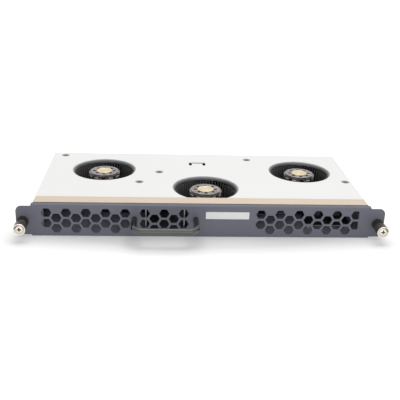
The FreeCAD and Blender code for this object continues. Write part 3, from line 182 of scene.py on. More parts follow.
class GroupMaker:
    """Builds one shader node group with named inputs and outputs."""

    def __init__(self, name: str, inputs: Sequence[str] = ("Scale", "Cloud"), kind: str = "Float",
                 outputs: Sequence[str] = ("Mask", "Height")) -> None:
        """Start an empty group.

        Args:
            name: The group's name.
            inputs: Names of the inputs.
            kind: Blender's kind of the inputs, such as Float.
            outputs: Names of the float outputs.
        """
        self.tree = bpy.data.node_groups.new(name, "ShaderNodeTree")
        for label in inputs:
            self.tree.interface.new_socket(name=label, in_out="INPUT", socket_type=f"NodeSocket{kind}")
        for label in outputs:
            self.tree.interface.new_socket(name=label, in_out="OUTPUT", socket_type="NodeSocketFloat")
        self.start = self.tree.nodes.new("NodeGroupInput")
        self.end = self.tree.nodes.new("NodeGroupOutput")

    def value(self, label: str) -> Socket:
        """Return the socket of one of the group's inputs."""
        return self.start.outputs[label]

    def axes(self, place: Socket) -> dict[str, Socket]:
        """Split a place into its three coordinates, by the axis's letter."""
        parts = add_node(self.tree, "SeparateXYZ", {"Vector": place})
        return {axis: parts.outputs[axis] for axis in "XYZ"}

    def math(self, operation: str, *items: object) -> Socket:
        """Add a sum on sockets and plain numbers, and return its socket."""
        return reckon(self.tree, operation, *items)

    def noise(self, label: str, detail: float = 3.0, factors: Point = (1.0, 1.0, 1.0)) -> Socket:
        """Add a noise texture on the object's own coordinates.

        Args:
            label: The group's input that holds the noise cells per metre.
            detail: Octaves.
            factors: Factor on each coordinate, below 1 where the noise is drawn out along it.

        Returns:
            The noise's value, from 0 to 1.
        """
        drawn = add_node(self.tree, "Mapping", {"Vector": own_place(self.tree), "Scale": factors})
        inputs = {"Vector": drawn.outputs["Vector"], "Scale": self.value(label), "Detail": detail}
        return add_node(self.tree, "TexNoise", inputs).outputs["Fac"]

    def finish(self, **outputs: Socket) -> Tree:
        """Lead sockets to the group's outputs, and return the finished group."""
        feed(self.end, outputs)
        return self.tree


def grain_group(name: str, fine_share: float, factors: Point = (1.0, 1.0, 1.0)) -> Tree:
    """Build a fine grain over a slow change of colour, as on powder coat, moulded plastic or drawn metal.

    Args:
        name: The group's name.
        fine_share: How much of the mask follows the fine grain.
        factors: Factor on each coordinate, below 1 where the grain is drawn out along it.

    Returns:
        A group with a Mask of the colour's change and a Height of the grain.
    """
    maker = GroupMaker(name)
    fine = maker.noise("Scale", 2.0, factors)
    slow = maker.math("MULTIPLY", maker.noise("Cloud"), 1 - fine_share)
    return maker.finish(Mask=maker.math("MULTIPLY_ADD", fine, fine_share, slow), Height=fine)


def cloth_group() -> Tree:
    """Build the weave of thin metallised ripstop: close ribs and a wider grid of thicker threads.

    Returns:
        A group with a Mask of the threads and their Height.
    """
    ribs_a_thread = 4.0
    thread_sharpness = 24.0
    rib_share = 0.5
    weave_share = 0.22
    ground = 0.3
    cloud_share = 0.35
    maker = GroupMaker("RipstopCloth")
    pace = maker.math("MULTIPLY", maker.value("Scale"), math.tau)
    axes = maker.axes(own_place(maker.tree))
    weave: object = 0.0
    for axis in "XY":
        angle = maker.math("MULTIPLY", axes[axis], pace)
        wide = maker.math("ABSOLUTE", maker.math("SINE", maker.math("DIVIDE", angle, ribs_a_thread)))
        weave = maker.math("ADD", weave, maker.math("POWER", wide, thread_sharpness))
        weave = maker.math("MULTIPLY_ADD", maker.math("SINE", angle), rib_share, weave)
    threads = maker.math("MULTIPLY_ADD", weave, weave_share, ground)
    mask = maker.math("MULTIPLY_ADD", maker.noise("Cloud"), cloud_share, threads)
    return maker.finish(Mask=mask, Height=threads)


def wound_group() -> Tree:
    """Build the close turns of a coil's wire or a core's sheets, stacked along Z.

    Returns:
        A group with a Mask and a Height of the turns.
    """
    maker = GroupMaker("WoundWire")
    pace = maker.math("MULTIPLY", maker.value("Scale"), math.pi)
    angle = maker.math("MULTIPLY", maker.axes(own_place(maker.tree))["Z"], pace)
    turns = maker.math("ABSOLUTE", maker.math("SINE", angle))
    return maker.finish(Mask=maker.math("MULTIPLY", turns, maker.noise("Cloud", 2.0)), Height=turns)


def zone_group() -> Tree:
    """Build the mask of a boxed part of a surface.

    Returns:
        A group whose Mask is 1 where Place lies between Low and High on all three axes.
    """
    maker = GroupMaker("ZoneMask", ("Place", "Low", "High"), "Vector", ("Mask",))
    place, low, high = (maker.axes(maker.value(label)) for label in ("Place", "Low", "High"))
    total: object = 1.0
    for axis in "XYZ":
        above = maker.math("GREATER_THAN", place[axis], low[axis])
        below = maker.math("LESS_THAN", place[axis], high[axis])
        total = maker.math("MULTIPLY", total, maker.math("MULTIPLY", above, below))
    return maker.finish(Mask=total)


class Effects:
    """The shared node groups, each made once."""

    def __init__(self) -> None:
        """Build every group."""
        self.zone = zone_group()
        self.groups = {
            Grain.PLAIN: grain_group("SpeckleGrain", 0.25),
            Grain.BRUSHED: grain_group("BrushedLines", 0.5, (0.03, 1.0, 1.0)),
            Grain.CLOTH: cloth_group(),
            Grain.WOUND: wound_group(),
        }


# -- Finishes ----------------------------------------------
FAR = 1.0
EVERYWHERE: Pair = (-FAR, FAR)


@dataclass(frozen=True)
class Zone:
    """A boxed part of a surface with a colour and gloss of its own, such as a sheet's bare edge, or with
    painted light or shade.

    The ranges are in metres, and the box may be turned about an upright axis by some degrees.
    """

    colour: Colour
    roughness: float = 0.6
    metallic: float = 0.0
    x: Pair = EVERYWHERE
    y: Pair = EVERYWHERE
    z: Pair = EVERYWHERE
    turn: float = 0.0
    pivot: Pair = (0.0, 0.0)

    def mask(self, tree: Tree, effects: Effects) -> Socket:
        """Add the zone's mask to a material.

        Args:
            tree: The material's nodes.
            effects: The shared node groups.

        Returns:
            The mask's socket.
        """
        place = own_place(tree)
        if self.turn:
            inputs = {"Vector": place, "Center": (*self.pivot, 0.0), "Angle": math.radians(-self.turn)}
            place = add_node(tree, "VectorRotate", inputs, rotation_type="Z_AXIS").outputs["Vector"]
        low, high = zip(self.x, self.y, self.z)
        inputs = {"Place": place, "Low": low, "High": high}
        return add_node(tree, "Group", inputs, node_tree=effects.zone).outputs["Mask"]


@dataclass(frozen=True)
class Finish:
    """One surface finish: two colours that mix over the surface, gloss and grain.

    Scale is the grain's cells, ribs or turns per metre, and cloud the cells of its slow change. Relief is
    the grain's height in millimetres.
    """

    colour: Colour
    worn: Colour
    roughness: Pair
    metallic: float = 0.0
    grain: Grain = Grain.PLAIN
    scale: float = 900.0
    cloud: float = 12.0
    relief: float = 0.004
    coat: float = 0.0
    contrast: float = 1.0

    def build(self, name: str, effects: Effects, zones: Sequence[Zone] = ()) -> bpy.types.Material:
        """Make the material.

        Args:
            name: The material's name.
            effects: The shared node groups.
            zones: Parts of the surface that look different.

        Returns:
            The material, ready to assign.
        """
        material, tree = new_material(name)
        inputs = {"Scale": self.scale, "Cloud": self.cloud}
        grain = add_node(tree, "Group", inputs, node_tree=effects.groups[self.grain])
        half = 0.5 / self.contrast
        inputs = {"Value": grain.outputs["Mask"], "From Min": 0.5 - half, "From Max": 0.5 + half}
        share = add_node(tree, "MapRange", inputs).outputs["Result"]
        colour = mixed(tree, Blend.COLOUR, share, (*self.colour, 1), (*self.worn, 1))
        gloss = mixed(tree, Blend.VALUE, share, *self.roughness)
        metal: object = self.metallic
        for zone in zones:
            mask = zone.mask(tree, effects)
            colour = mixed(tree, Blend.COLOUR, mask, colour, (*zone.colour, 1))
            gloss = mixed(tree, Blend.VALUE, mask, gloss, zone.roughness)
            if metal != zone.metallic:
                metal = mixed(tree, Blend.VALUE, mask, metal, zone.metallic)
        inputs = {"Height": grain.outputs["Height"], "Distance": self.relief * MM, "Strength": 1.0}
        bump = add_node(tree, "Bump", inputs).outputs["Normal"]
        shader = find_node(tree, "BSDF_PRINCIPLED")
        feed(shader, {"Base Color": colour, "Roughness": gloss, "Metallic": metal, "Coat Weight": self.coat,
                      "Normal": bump})
        return material


FINISHES: dict[str, Finish] = {
    "shell_zinc": Finish((0.90, 0.90, 0.89), (0.95, 0.95, 0.935), (0.42, 0.55), cloud=9.0),
    "panel_paint": Finish((0.118, 0.122, 0.155), (0.150, 0.155, 0.190), (0.42, 0.58), scale=2600.0,
                          cloud=9.0, relief=0.012),
    "gasket_fabric": Finish((0.61, 0.50, 0.385), (0.86, 0.725, 0.58), (0.5, 0.75), 0.1, Grain.CLOTH,
                            scale=1 / (0.9 * MM), relief=0.09),
    "label_white": Finish((0.80, 0.80, 0.80), (0.88, 0.88, 0.87), (0.35, 0.5), cloud=60.0, relief=0.002),
    "handle_metal": Finish((0.055, 0.057, 0.052), (0.085, 0.087, 0.08), (0.16, 0.28), 1.0, Grain.BRUSHED,
                           relief=0.002, coat=0.6),
    "screw_steel": Finish((0.20, 0.19, 0.17), (0.46, 0.44, 0.40), (0.25, 0.45), 1.0, cloud=400.0,
                          relief=0.006, contrast=2.0),
    "bearing_brass": Finish((0.62, 0.43, 0.16), (0.72, 0.55, 0.26), (0.25, 0.4), 1.0, cloud=120.0),
    "bearing_bronze": Finish((0.40, 0.24, 0.10), (0.5, 0.33, 0.17), (0.5, 0.7), 1.0, cloud=700.0,
                             relief=0.01),
    "lamination_steel": Finish((0.10, 0.10, 0.11), (0.2, 0.2, 0.21), (0.35, 0.6), 0.8, Grain.WOUND,
                               scale=1 / (0.5 * MM), relief=0.03),
    "coil_copper": Finish((0.10, 0.05, 0.035), (0.30, 0.16, 0.10), (0.25, 0.45), 0.6, Grain.WOUND,
                          scale=1 / (0.5 * MM), relief=0.12, coat=0.4),
    "board_green": Finish((0.010, 0.020, 0.014), (0.018, 0.034, 0.024), (0.3, 0.5), cloud=90.0,
                          relief=0.01, coat=0.2),
    "ferrule_steel": Finish((0.035, 0.031, 0.028), (0.07, 0.063, 0.056), (0.35, 0.55), 0.6, cloud=300.0,
                            relief=0.006),
    "support_nylon": Finish((0.66, 0.66, 0.6), (0.76, 0.76, 0.7), (0.45, 0.6), cloud=90.0),
    "header_white": Finish((0.10, 0.10, 0.09), (0.16, 0.16, 0.14), (0.4, 0.55), cloud=90.0),
    "chip_black": Finish((0.012, 0.012, 0.013), (0.03, 0.03, 0.03), (0.45, 0.65), cloud=120.0, relief=0.01),
    "connector_black": Finish((0.02, 0.02, 0.02), (0.035, 0.035, 0.035), (0.4, 0.55), cloud=90.0,
                              relief=0.006),
    "lead_grey": Finish((0.03, 0.03, 0.033), (0.055, 0.055, 0.06), (0.4, 0.55), cloud=60.0, relief=0.006),
    "housing_steel": Finish((0.042, 0.043, 0.050), (0.07, 0.072, 0.082), (0.45, 0.65), cloud=20.0,
                            relief=0.008),
    "inlet_steel": Finish((0.052, 0.055, 0.058), (0.10, 0.104, 0.108), (0.26, 0.42), 0.85, cloud=60.0,
                          contrast=1.6),
    "blade_black": Finish((0.12, 0.118, 0.124), (0.18, 0.178, 0.186), (0.28, 0.4), cloud=60.0,
                          relief=0.003),
    "cup_steel": Finish((0.15, 0.128, 0.122), (0.42, 0.39, 0.38), (0.2, 0.36), 1.0, cloud=190.0,
                        contrast=2.6),
    "boss_brass": Finish((0.66, 0.54, 0.33), (0.81, 0.72, 0.51), (0.27, 0.44), 0.7, cloud=160.0,
                         relief=0.006, contrast=1.6),
    "shaft_steel": Finish((0.5, 0.5, 0.5), (0.62, 0.62, 0.61), (0.15, 0.3), 1.0, cloud=300.0, relief=0.003),
    "spring_steel": Finish((0.22, 0.2, 0.19), (0.34, 0.32, 0.3), (0.25, 0.45), 1.0, cloud=300.0),
    "knob_nickel": Finish((0.82, 0.76, 0.67), (0.92, 0.87, 0.79), (0.16, 0.3), 0.75, cloud=250.0),
}

SEAM_SHADE = (0.085, 0.09, 0.10)
DULL_ZINC = (0.48, 0.50, 0.56)
BARE_EDGE = (0.42, 0.42, 0.43)
# Painted light: the front of a blower housing, lightened where light comes in through the vents.
OUTLET_PAINTED_LIGHT = (0.10, 0.10, 0.125)
BOARD_EDGE = (0.40, 0.39, 0.31)
# Painted shade: the dark gap between the panel's top flange and the gasket.
GAP_SHADE = (0.06, 0.052, 0.05)
# Painted highlights along the lip and the throat of an inlet ring.
LIP_HIGHLIGHT = (0.34, 0.34, 0.35)
THROAT_HIGHLIGHT = (0.75, 0.74, 0.73)
CUP_SHADE = (0.10, 0.09, 0.09)
# Painted highlight: a bright band across a rotor cup's wall, standing in for a reflection.
CUP_HIGHLIGHT_BAND = (0.95, 0.93, 0.92)
SOCKET_SHADE = (0.012, 0.012, 0.012)
HEAD_STEEL = (0.90, 0.85, 0.77)
CROSS_SHADE = (0.03, 0.026, 0.022)
KNOB_GRIP = (0.13, 0.115, 0.095)
KNOB_CUP = (0.84, 0.78, 0.70)
KNOB_CUP_SHADE = (0.10, 0.085, 0.065)


def middle_of(node: str) -> Vector:
    """Return the middle of a node's box."""
    low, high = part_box(node)
    return (low + high) / 2


@dataclass(frozen=True)
class ZoneMap:
    """Where the pieces' surfaces change their colour and gloss, including painted light and shade, and how
    far those zones reach.
    """

    sheet_wall: float = 1.2 * MM
    skin: float = 0.15 * MM
    outlet_edge: float = 62.8 * MM
    outlet_turn: float = 9.0
    board_edge: float = 0.1 * MM
    gap_shade_deep: float = 0.7 * MM
    gap_shade_drop: float = 0.65 * MM
    lip: float = 0.3 * MM
    throat_edge: float = 0.5 * MM
    cup_levels: tuple[float, float, float] = (2.4 * MM, 3.4 * MM, 5.4 * MM)
    shade_patches: int = 12
    first_shade_patch: float = 15.0
    shade_patch_half: float = 1.7 * MM
    shade_patch_sill: float = 0.4 * MM
    socket_deep: float = 0.17 * MM
    head_deep: float = 2.3 * MM
    cross_half: float = 2.7 * MM
    cross_range: Pair = (0.8 * MM, 2.6 * MM)
    knob_rim: float = 0.9 * MM
    shade_lift: float = 0.8 * MM

    def build(self) -> dict[str, list[Zone]]:
        """Return the zones of every piece that has some, by its name."""
        zones = {"sheet_shell": self.shell(), "bottom_cover": self.cover(), "control_board": self.board(),
                 "conductive_gasket": self.gasket(), "blower_screws": self.sockets()}
        for side in SIDES:
            zones[f"{side}_blower_housing"] = self.housing(side)
            zones[f"{side}_inlet_ring"] = self.ring(side)
            zones[f"{side}_rotor_cup"] = self.cup(side)
        for side in ENDS:
            zones[f"{side}_knob"] = self.knob(side)
            zones[f"{side}_captive_screw"] = self.head(side)
            zones[f"{side}_cup_wall"] = self.knob_cup(side)
        return zones

    def shell(self) -> list[Zone]:
        """Describe the shell's duller inside, and the shaded seam in front of the gasket.

        Returns:
            Both zones.
        """
        deep = self.sheet_wall - self.skin
        low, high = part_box("sheet_shell")
        inside = Zone(DULL_ZINC, x=(low.x + deep, high.x - deep), y=(-FAR, high.y - deep),
                      z=(-FAR, high.z - deep))
        return [inside, Zone(SEAM_SHADE, y=(-FAR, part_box("conductive_gasket")[0].y + self.skin))]

    def cover(self) -> list[Zone]:
        """Return the bottom cover's duller upper side."""
        return [Zone(DULL_ZINC, z=(middle_of("bottom_cover").z, FAR))]

    def board(self) -> list[Zone]:
        """Return the control board's pale front edge."""
        return [Zone(BOARD_EDGE, 0.5, y=(-FAR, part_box("control_board")[0].y + self.board_edge))]

    def gasket(self) -> list[Zone]:
        """Return the painted shade low on the gasket's front, which stands in for the dark gap behind the
        panel's top flange.
        """
        low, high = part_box("conductive_gasket")
        return [Zone(GAP_SHADE, y=(-FAR, low.y + self.gap_shade_deep), z=(-FAR, high.z - self.gap_shade_drop))]

    def sockets(self) -> list[Zone]:
        """Return the painted shade in the sockets of the screws in the roof."""
        return [Zone(SOCKET_SHADE, 0.8, z=(-FAR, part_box("blower_screws")[1].z - self.socket_deep))]

    def housing(self, side: str) -> list[Zone]:
        """Describe the painted light on the front of a housing round its outlet, standing in for light
        through the vents, and the bare sheet edges there.

        Args:
            side: Which blower it belongs to.

        Returns:
            Both zones, turned with the outlet.
        """
        axis = middle_of(f"{side}_rotor_cup")
        turning = {"turn": self.outlet_turn if side == "right" else 0.0, "pivot": (axis.x, axis.y)}
        edges = Zone(BARE_EDGE, 0.4, 0.5, y=(-FAR, axis.y - self.outlet_edge), **turning)
        return [Zone(OUTLET_PAINTED_LIGHT, 0.5, y=(-FAR, axis.y), **turning), edges]

    def ring(self, side: str) -> list[Zone]:
        """Describe the painted highlights on the edges of an inlet ring.

        Args:
            side: Which blower it belongs to.

        Returns:
            The zones at its mouth and at its throat.
        """
        low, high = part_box(f"{side}_inlet_plate")
        mouth = Zone(LIP_HIGHLIGHT, 0.3, 0.8, z=(high.z - self.lip, FAR))
        return [mouth, Zone(THROAT_HIGHLIGHT, 0.25, 0.6, z=(-FAR, low.z + self.throat_edge))]

    def cup(self, side: str) -> list[Zone]:
        """Describe the painted shade on a rotor cup's wall below its step, with a band of painted highlight
        that patches of painted shade break up.

        Args:
            side: Which blower it belongs to.

        Returns:
            The wall, the band, and a zone for each two patches of painted shade that face each other.
        """
        middle = middle_of(f"{side}_rotor_cup")
        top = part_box(f"{side}_rotor_cup")[1].z
        step, band_top, band_foot = (top - drop for drop in self.cup_levels)
        wall = Zone(CUP_SHADE, 0.5, 0.4, z=(-FAR, step))
        zones = [wall, Zone(CUP_HIGHLIGHT_BAND, 0.3, 0.2, z=(band_foot, band_top))]
        across = (middle.x - self.shade_patch_half, middle.x + self.shade_patch_half)
        for number in range(self.shade_patches // 2):
            turn = self.first_shade_patch + 360.0 / self.shade_patches * number
            zones.append(replace(wall, x=across, z=(band_foot + self.shade_patch_sill, band_top), turn=turn,
                                 pivot=(middle.x, middle.y)))
        return zones

    def knob(self, side: str) -> list[Zone]:
        """Return a knob's darkened grip behind its bright front rim."""
        return [Zone(KNOB_GRIP, 0.35, 0.8, y=(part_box(f"{side}_knob")[0].y + self.knob_rim, FAR))]

    def knob_cup(self, side: str) -> list[Zone]:
        """Return the softer gloss of the wall in a knob's cup, and its shaded upper half."""
        shade = Zone(KNOB_CUP_SHADE, 0.5, z=(middle_of(f"{side}_knob").z + self.shade_lift, FAR))
        return [Zone(KNOB_CUP, 0.5, 0.2), shade]

    def head(self, side: str) -> list[Zone]:
        """Describe a captive screw's bright head and the painted shade on the floor of its cross.

        Args:
            side: Which screw it is.

        Returns:
            Both zones.
        """
        middle = middle_of(f"{side}_captive_screw")
        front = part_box(f"{side}_captive_screw")[0].y
        near, far = (front + deep for deep in self.cross_range)
        half = self.cross_half
        cross = Zone(CROSS_SHADE, 0.7, x=(middle.x - half, middle.x + half), y=(near, far),
                     z=(middle.z - half, middle.z + half))
        return [Zone(HEAD_STEEL, 0.35, 0.5, y=(-FAR, front + self.head_deep)), cross]


class Paint:
    """Assigns the finishes by the record's slots. A piece with zones has a material of its own."""

    def __init__(self) -> None:
        """Build the shared node groups and read which slot each node has."""
        self.effects = Effects()
        self.slots = {row["node"]: row["material_slot"] for row in frame["record"]["subparts"]}
        self.zones = ZoneMap().build()
        self.made: dict[str, bpy.types.Material] = {}

    def dress(self, piece: Thing, slot: str, owner: str) -> None:
        """Give a piece the finish of a slot.

        Args:
            piece: The object.
            slot: The record's slot.
            owner: Name of the node or piece whose zones it has.
        """
        zones = self.zones.get(owner, [])
        name = f"{slot}_{owner}" if zones else slot
        if name not in self.made:
            self.made[name] = FINISHES[slot].build(name, self.effects, zones)
        piece.data.materials.clear()
        piece.data.materials.append(self.made[name])

    def dress_nodes(self) -> None:
        """Give every node of the frame the finish of its slot."""
        for name, piece in frame["nodes"].items():
            self.dress(piece, self.slots[name], name)
            LOG.info("node %s: %s", name, self.slots[name])


# -- Meshes ------------------------------------------------
CAP_STEPS = 72
# How much an arm of a cross recess narrows outwards, and the shares of its width and length at full depth.
CROSS_TAPER = 0.35
CROSS_FLOOR = 0.7
CROSS_REACH = 0.45


def upright(spot: Vector) -> Matrix:
    """Return the matrix from a turned piece's own frame to an upright axis through a spot."""
    return Matrix.Translation((spot.x, spot.y, 0))


def lying(spot: Vector) -> Matrix:
    """Return the matrix from a turned piece's own frame to an axis that points back through a spot."""
    return Matrix.Translation((spot.x, 0, spot.z)) @ Matrix.Rotation(math.radians(-90), 4, "X")


def polar(radius: float, angle: float, height: float = 0.0) -> Vector:
    """Return the point at a radius, an angle in radians and a height."""
    return Vector((radius * math.cos(angle), radius * math.sin(angle), height))


def arc(centre: Pair, radii: Pair, start: float, end: float, steps: int) -> list[Pair]:
    """Return points along an ellipse that lies straight, between two angles.

    Args:
        centre: Its middle.
        radii: Its reach along each coordinate.
        start: First angle in degrees.
        end: Last angle in degrees.
        steps: Stretches between the points.

    Returns:
        The points, with both ends.
    """
    points = []
    for step in range(steps + 1):
        angle = math.radians(start + (end - start) * step / steps)
        points.append((centre[0] + radii[0] * math.cos(angle), centre[1] + radii[1] * math.sin(angle)))
    return points


def bridge(mesh: Mesh, loops: Sequence[Sequence[Vertex]], closed: bool = False,
           capped: bool = False) -> None:
    """Join each loop of points to the next with a band of faces.

    Args:
        mesh: The mesh that holds them.
        loops: The loops, with equally many points.
        closed: Whether the last loop joins the first.
        capped: Whether a face closes each end.
    """
    followers = [*loops[1:], loops[0]] if closed else loops[1:]
    for loop, follower in zip(loops, followers):
        for index in range(len(loop)):
            after = (index + 1) % len(loop)
            mesh.faces.new((loop[index], loop[after], follower[after], follower[index]))
    if capped:
        mesh.faces.new(loops[0])
        mesh.faces.new(list(reversed(loops[-1])))


def turned(mesh: Mesh, profile: Sequence[Pair], steps: int, place: Matrix, closed: bool = True,
           radius_at: Optional[Callable[[int, float, float], float]] = None) -> None:
    """Add a turned surface to a mesh.

    Args:
        mesh: The mesh that gets it.
        profile: Radius and height of each ring, in metres.
        steps: Points in one ring.
        place: Matrix from the turned piece's frame.
        closed: Whether the last ring joins the first.
        radius_at: Optional radius from the ring's number, its angle and its plain radius.
    """
    rings = []
    for number, (radius, height) in enumerate(profile):
        ring = []
        for step in range(steps):
            angle = math.tau * step / steps
            reach = radius_at(number, angle, radius) if radius_at else radius
            ring.append(mesh.verts.new(place @ polar(reach, angle, height)))
        rings.append(ring)
    bridge(mesh, rings, closed)


def domed_cap(mesh: Mesh, radius: float, surface: Callable[[float, float], float], place: Matrix,
              rings: int, skirt: float) -> list[Vertex]:
    """Add a round cap whose height is a function of its own x and y, with a short skirt below its rim.

    Args:
        mesh: The mesh that gets it.
        radius: Radius of the cap.
        surface: Height at a point.
        place: Matrix from the cap's frame.
        rings: Rings from the middle to the rim.
        skirt: How far the skirt's foot is moved along the cap's axis.

    Returns:
        The points of the skirt's foot.
    """
    middle = mesh.verts.new(place @ Vector((0, 0, surface(0, 0))))
    levels = [(radius * number / rings, 0.0) for number in range(1, rings + 1)]
    loops = []
    for reach, drop in [*levels, (radius, skirt)]:
        loop = []
        for step in range(CAP_STEPS):
            spot = polar(reach, math.tau * step / CAP_STEPS)
            spot.z = surface(spot.x, spot.y) + drop
            loop.append(mesh.verts.new(place @ spot))
        loops.append(loop)
    for index in range(CAP_STEPS):
        mesh.faces.new((middle, loops[0][index], loops[0][(index + 1) % CAP_STEPS]))
    bridge(mesh, loops)
    return loops[-1]


def fade(value: float, low: float, high: float) -> float:
    """Return 0 below low, 1 above high and a smooth step between."""
    share = min(1.0, max(0.0, (value - low) / (high - low)))
    return share * share * (3 - 2 * share)


def cross_recess(x: float, y: float, reach: float, half: float) -> float:
    """Return how deep a cross-shaped recess is at a point, from 0 to 1.

    Args:
        x: The point's first coordinate, from the cross's middle.
        y: Its second coordinate.
        reach: Length of an arm.
        half: Half an arm's width at the cross's middle.

    Returns:
        The share of the full depth.
    """
    arms = []
    for along, over in ((abs(x), abs(y)), (abs(y), abs(x))):
        narrow = half * (1 - CROSS_TAPER * along / reach)
        slope = 1 - fade(over, narrow * CROSS_FLOOR, narrow)
        arms.append(slope * (1 - fade(along, reach * CROSS_REACH, reach)))
    return max(arms)


def place_object(name: str, data: bpy.types.ID) -> Thing:
    """Make an object and link it to the scene.

    Args:
        name: The object's name.
        data: Its mesh, lamp or camera.

    Returns:
        The new object.
    """
    made = bpy.data.objects.new(name, data)
    bpy.context.scene.collection.objects.link(made)
    return made


def make_object(name: str, mesh: Mesh, sharp: float = 35.0) -> Thing:
    """Turn a bmesh into a linked, smooth-shaded object.

    Args:
        name: The piece's name.
        mesh: Its mesh, freed here.
        sharp: Edges that fold more than this many degrees stay crisp.

    Returns:
        The new object.
    """
    bmesh.ops.recalc_face_normals(mesh, faces=mesh.faces)
    for face in mesh.faces:
        face.smooth = True
    for edge in mesh.edges:
        edge.smooth = len(edge.link_faces) == 2 and edge.calc_face_angle(0.0) < math.radians(sharp)
    data = bpy.data.meshes.new(name)
    mesh.to_mesh(data)
    mesh.free()
    return place_object(name, data)


# -- Sub-assemblies ----------------------------------------
@dataclass
class Piece:
    """What each sub-assembly shares: the paint, and how a piece joins the frame."""

    paint: Paint

    def settle(self, name: str, mesh: Mesh, body: str, slot: str, *nodes: str,
               sharp: float = 35.0) -> Thing:
        """Make a piece of a mesh, dress it, and let it ride on a body and stand for nodes.

        Args:
            name: The piece's name.
            mesh: Its mesh.
            body: The body it moves with.
            slot: The record's slot of its finish.
            nodes: Nodes it stands for.
            sharp: Edges that fold more than this many degrees stay crisp.

        Returns:
            The piece.
        """
        piece = make_object(name, mesh, sharp)
        self.paint.dress(piece, slot, nodes[0] if nodes else name)
        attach(piece, body)
        if nodes:
            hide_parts(*nodes)
        LOG.info("piece %s on %s", piece.name, body)
        return piece


@dataclass
class Impeller(Piece):
    """A squirrel-cage wheel with curved blades, a ring round their tops and a back plate.

    Sweep is how far, in degrees, a blade's outer edge runs ahead of its inner one.
    """

    side: str
    blades: int = 60
    blade_thick: float = 0.8 * MM
    edge_share: float = 0.55
    bulge_start: float = 0.2
    chord: float = 8.3 * MM
    tip_gap: float = 0.9 * MM
    sweep: float = 5.28
    blade_steps: int = 6
    ring_high: float = 2.0 * MM
    ring_wide: float = 2.0 * MM
    ring_soft: float = 0.5 * MM
    plate_thick: float = 1.5 * MM
    bore_gap: float = 0.05 * MM
    steps: int = 144

    def build(self) -> None:
        """Build the wheel in place of its solid."""
        low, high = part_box(f"{self.side}_impeller")
        centre = (low + high) / 2
        outer = (high.x - low.x) / 2
        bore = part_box(f"{self.side}_rotor_cup")[1].x - centre.x + self.bore_gap
        place = upright(centre)
        mesh = bmesh.new()
        outline = self.blade_outline(outer)
        for number in range(self.blades):
            bearing = math.tau * number / self.blades
            loops = []
            for height in (low.z + self.plate_thick / 2, high.z - self.ring_high / 2):
                spots = [polar(reach, bearing + angle, height) for reach, angle in outline]
                loops.append([mesh.verts.new(place @ spot) for spot in spots])
            bridge(mesh, loops, capped=True)
        inner, top, soft = outer - self.ring_wide, high.z, self.ring_soft
        ring_foot, plate_top = top - self.ring_high, low.z + self.plate_thick
        ring = [(inner, top - soft), (inner + soft, top), (outer - soft, top), (outer, top - soft),
                (outer, ring_foot), (inner, ring_foot)]
        plate = [(bore, low.z), (outer, low.z), (outer, plate_top), (bore, plate_top)]
        for profile in (ring, plate):
            turned(mesh, profile, self.steps, place)
        self.settle(f"{self.side}_blade_wheel", mesh, f"{self.side}_rotor", "blade_black",
                    f"{self.side}_impeller")

    def blade_outline(self, outer: float) -> list[Pair]:
        """Return a blade's section, up along one side and back along the other.

        Args:
            outer: The wheel's outer radius.

        Returns:
            Radius and angle of each point.
        """
        start = outer - self.tip_gap - self.chord
        front, rear = [], []
        for step in range(self.blade_steps + 1):
            share = step / self.blade_steps
            reach = start + self.chord * share
            swing = math.radians(self.sweep) * share * share
            bulge = math.sin(math.pi * min(share + self.bulge_start, 1.0))
            half = self.blade_thick * (self.edge_share + (1 - self.edge_share) * bulge) / 2
            front.append((reach, swing + half / reach))
            rear.append((reach, swing - half / reach))
        return front + rear[::-1]


@dataclass
class Boss(Piece):
    """The brass boss on a rotor cup, with a turned groove in its face and chamfers."""

    side: str
    radius: float = 11.2 * MM
    bore: float = 2.02 * MM
    chamfer: float = 0.4 * MM
    groove_top: Pair = (0.38, 0.62)
    groove_foot: Pair = (0.42, 0.58)
    groove_deep: float = 0.35 * MM
    steps: int = 96

    def build(self) -> None:
        """Build the boss in place of its solid."""
        low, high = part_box(f"{self.side}_hub_boss")
        radius, bore, cut, top = self.radius, self.bore, self.chamfer, high.z
        near_top, far_top = (radius * share for share in self.groove_top)
        near_foot, far_foot = (radius * share for share in self.groove_foot)
        floor = top - self.groove_deep
        profile = [(bore, low.z), (radius, low.z), (radius, top - cut), (radius - cut, top),
                   (far_top, top), (far_foot, floor), (near_foot, floor), (near_top, top),
                   (bore + cut, top), (bore, top - cut)]
        mesh = bmesh.new()
        turned(mesh, profile, self.steps, upright((low + high) / 2))
        self.settle(f"{self.side}_turned_boss", mesh, f"{self.side}_rotor", "boss_brass",
                    f"{self.side}_hub_boss", sharp=20)


@dataclass
class InletRing(Piece):
    """The smooth rolled lip of a blower's inlet, drawn over the plate's faceted flare."""

    side: str
    mouth: float = 46.3 * MM
    throat: float = 41.9 * MM
    straight: float = 0.8 * MM
    gauge: float = 0.5 * MM
    edge_gap: float = 0.05 * MM
    curve_steps: int = 12
    steps: int = 144

    def build(self) -> None:
        """Build the ring on the inlet plate."""
        low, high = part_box(f"{self.side}_inlet_plate")
        edge, knee = low.z + self.edge_gap, low.z + self.straight
        width, height = self.mouth - self.throat, high.z - self.edge_gap - knee
        centre, gauge = (self.mouth, knee), self.gauge
        front = arc(centre, (width, height), 90, 180, self.curve_steps)
        rear = arc(centre, (width - gauge, height - gauge), 180, 90, self.curve_steps)
        profile = [*front, (self.throat, edge), (self.throat + gauge, edge), *rear]
        mesh = bmesh.new()
        turned(mesh, profile, self.steps, upright(middle_of(f"{self.side}_rotor_cup")))
        self.settle(f"{self.side}_inlet_ring", mesh, "tray", "inlet_steel")


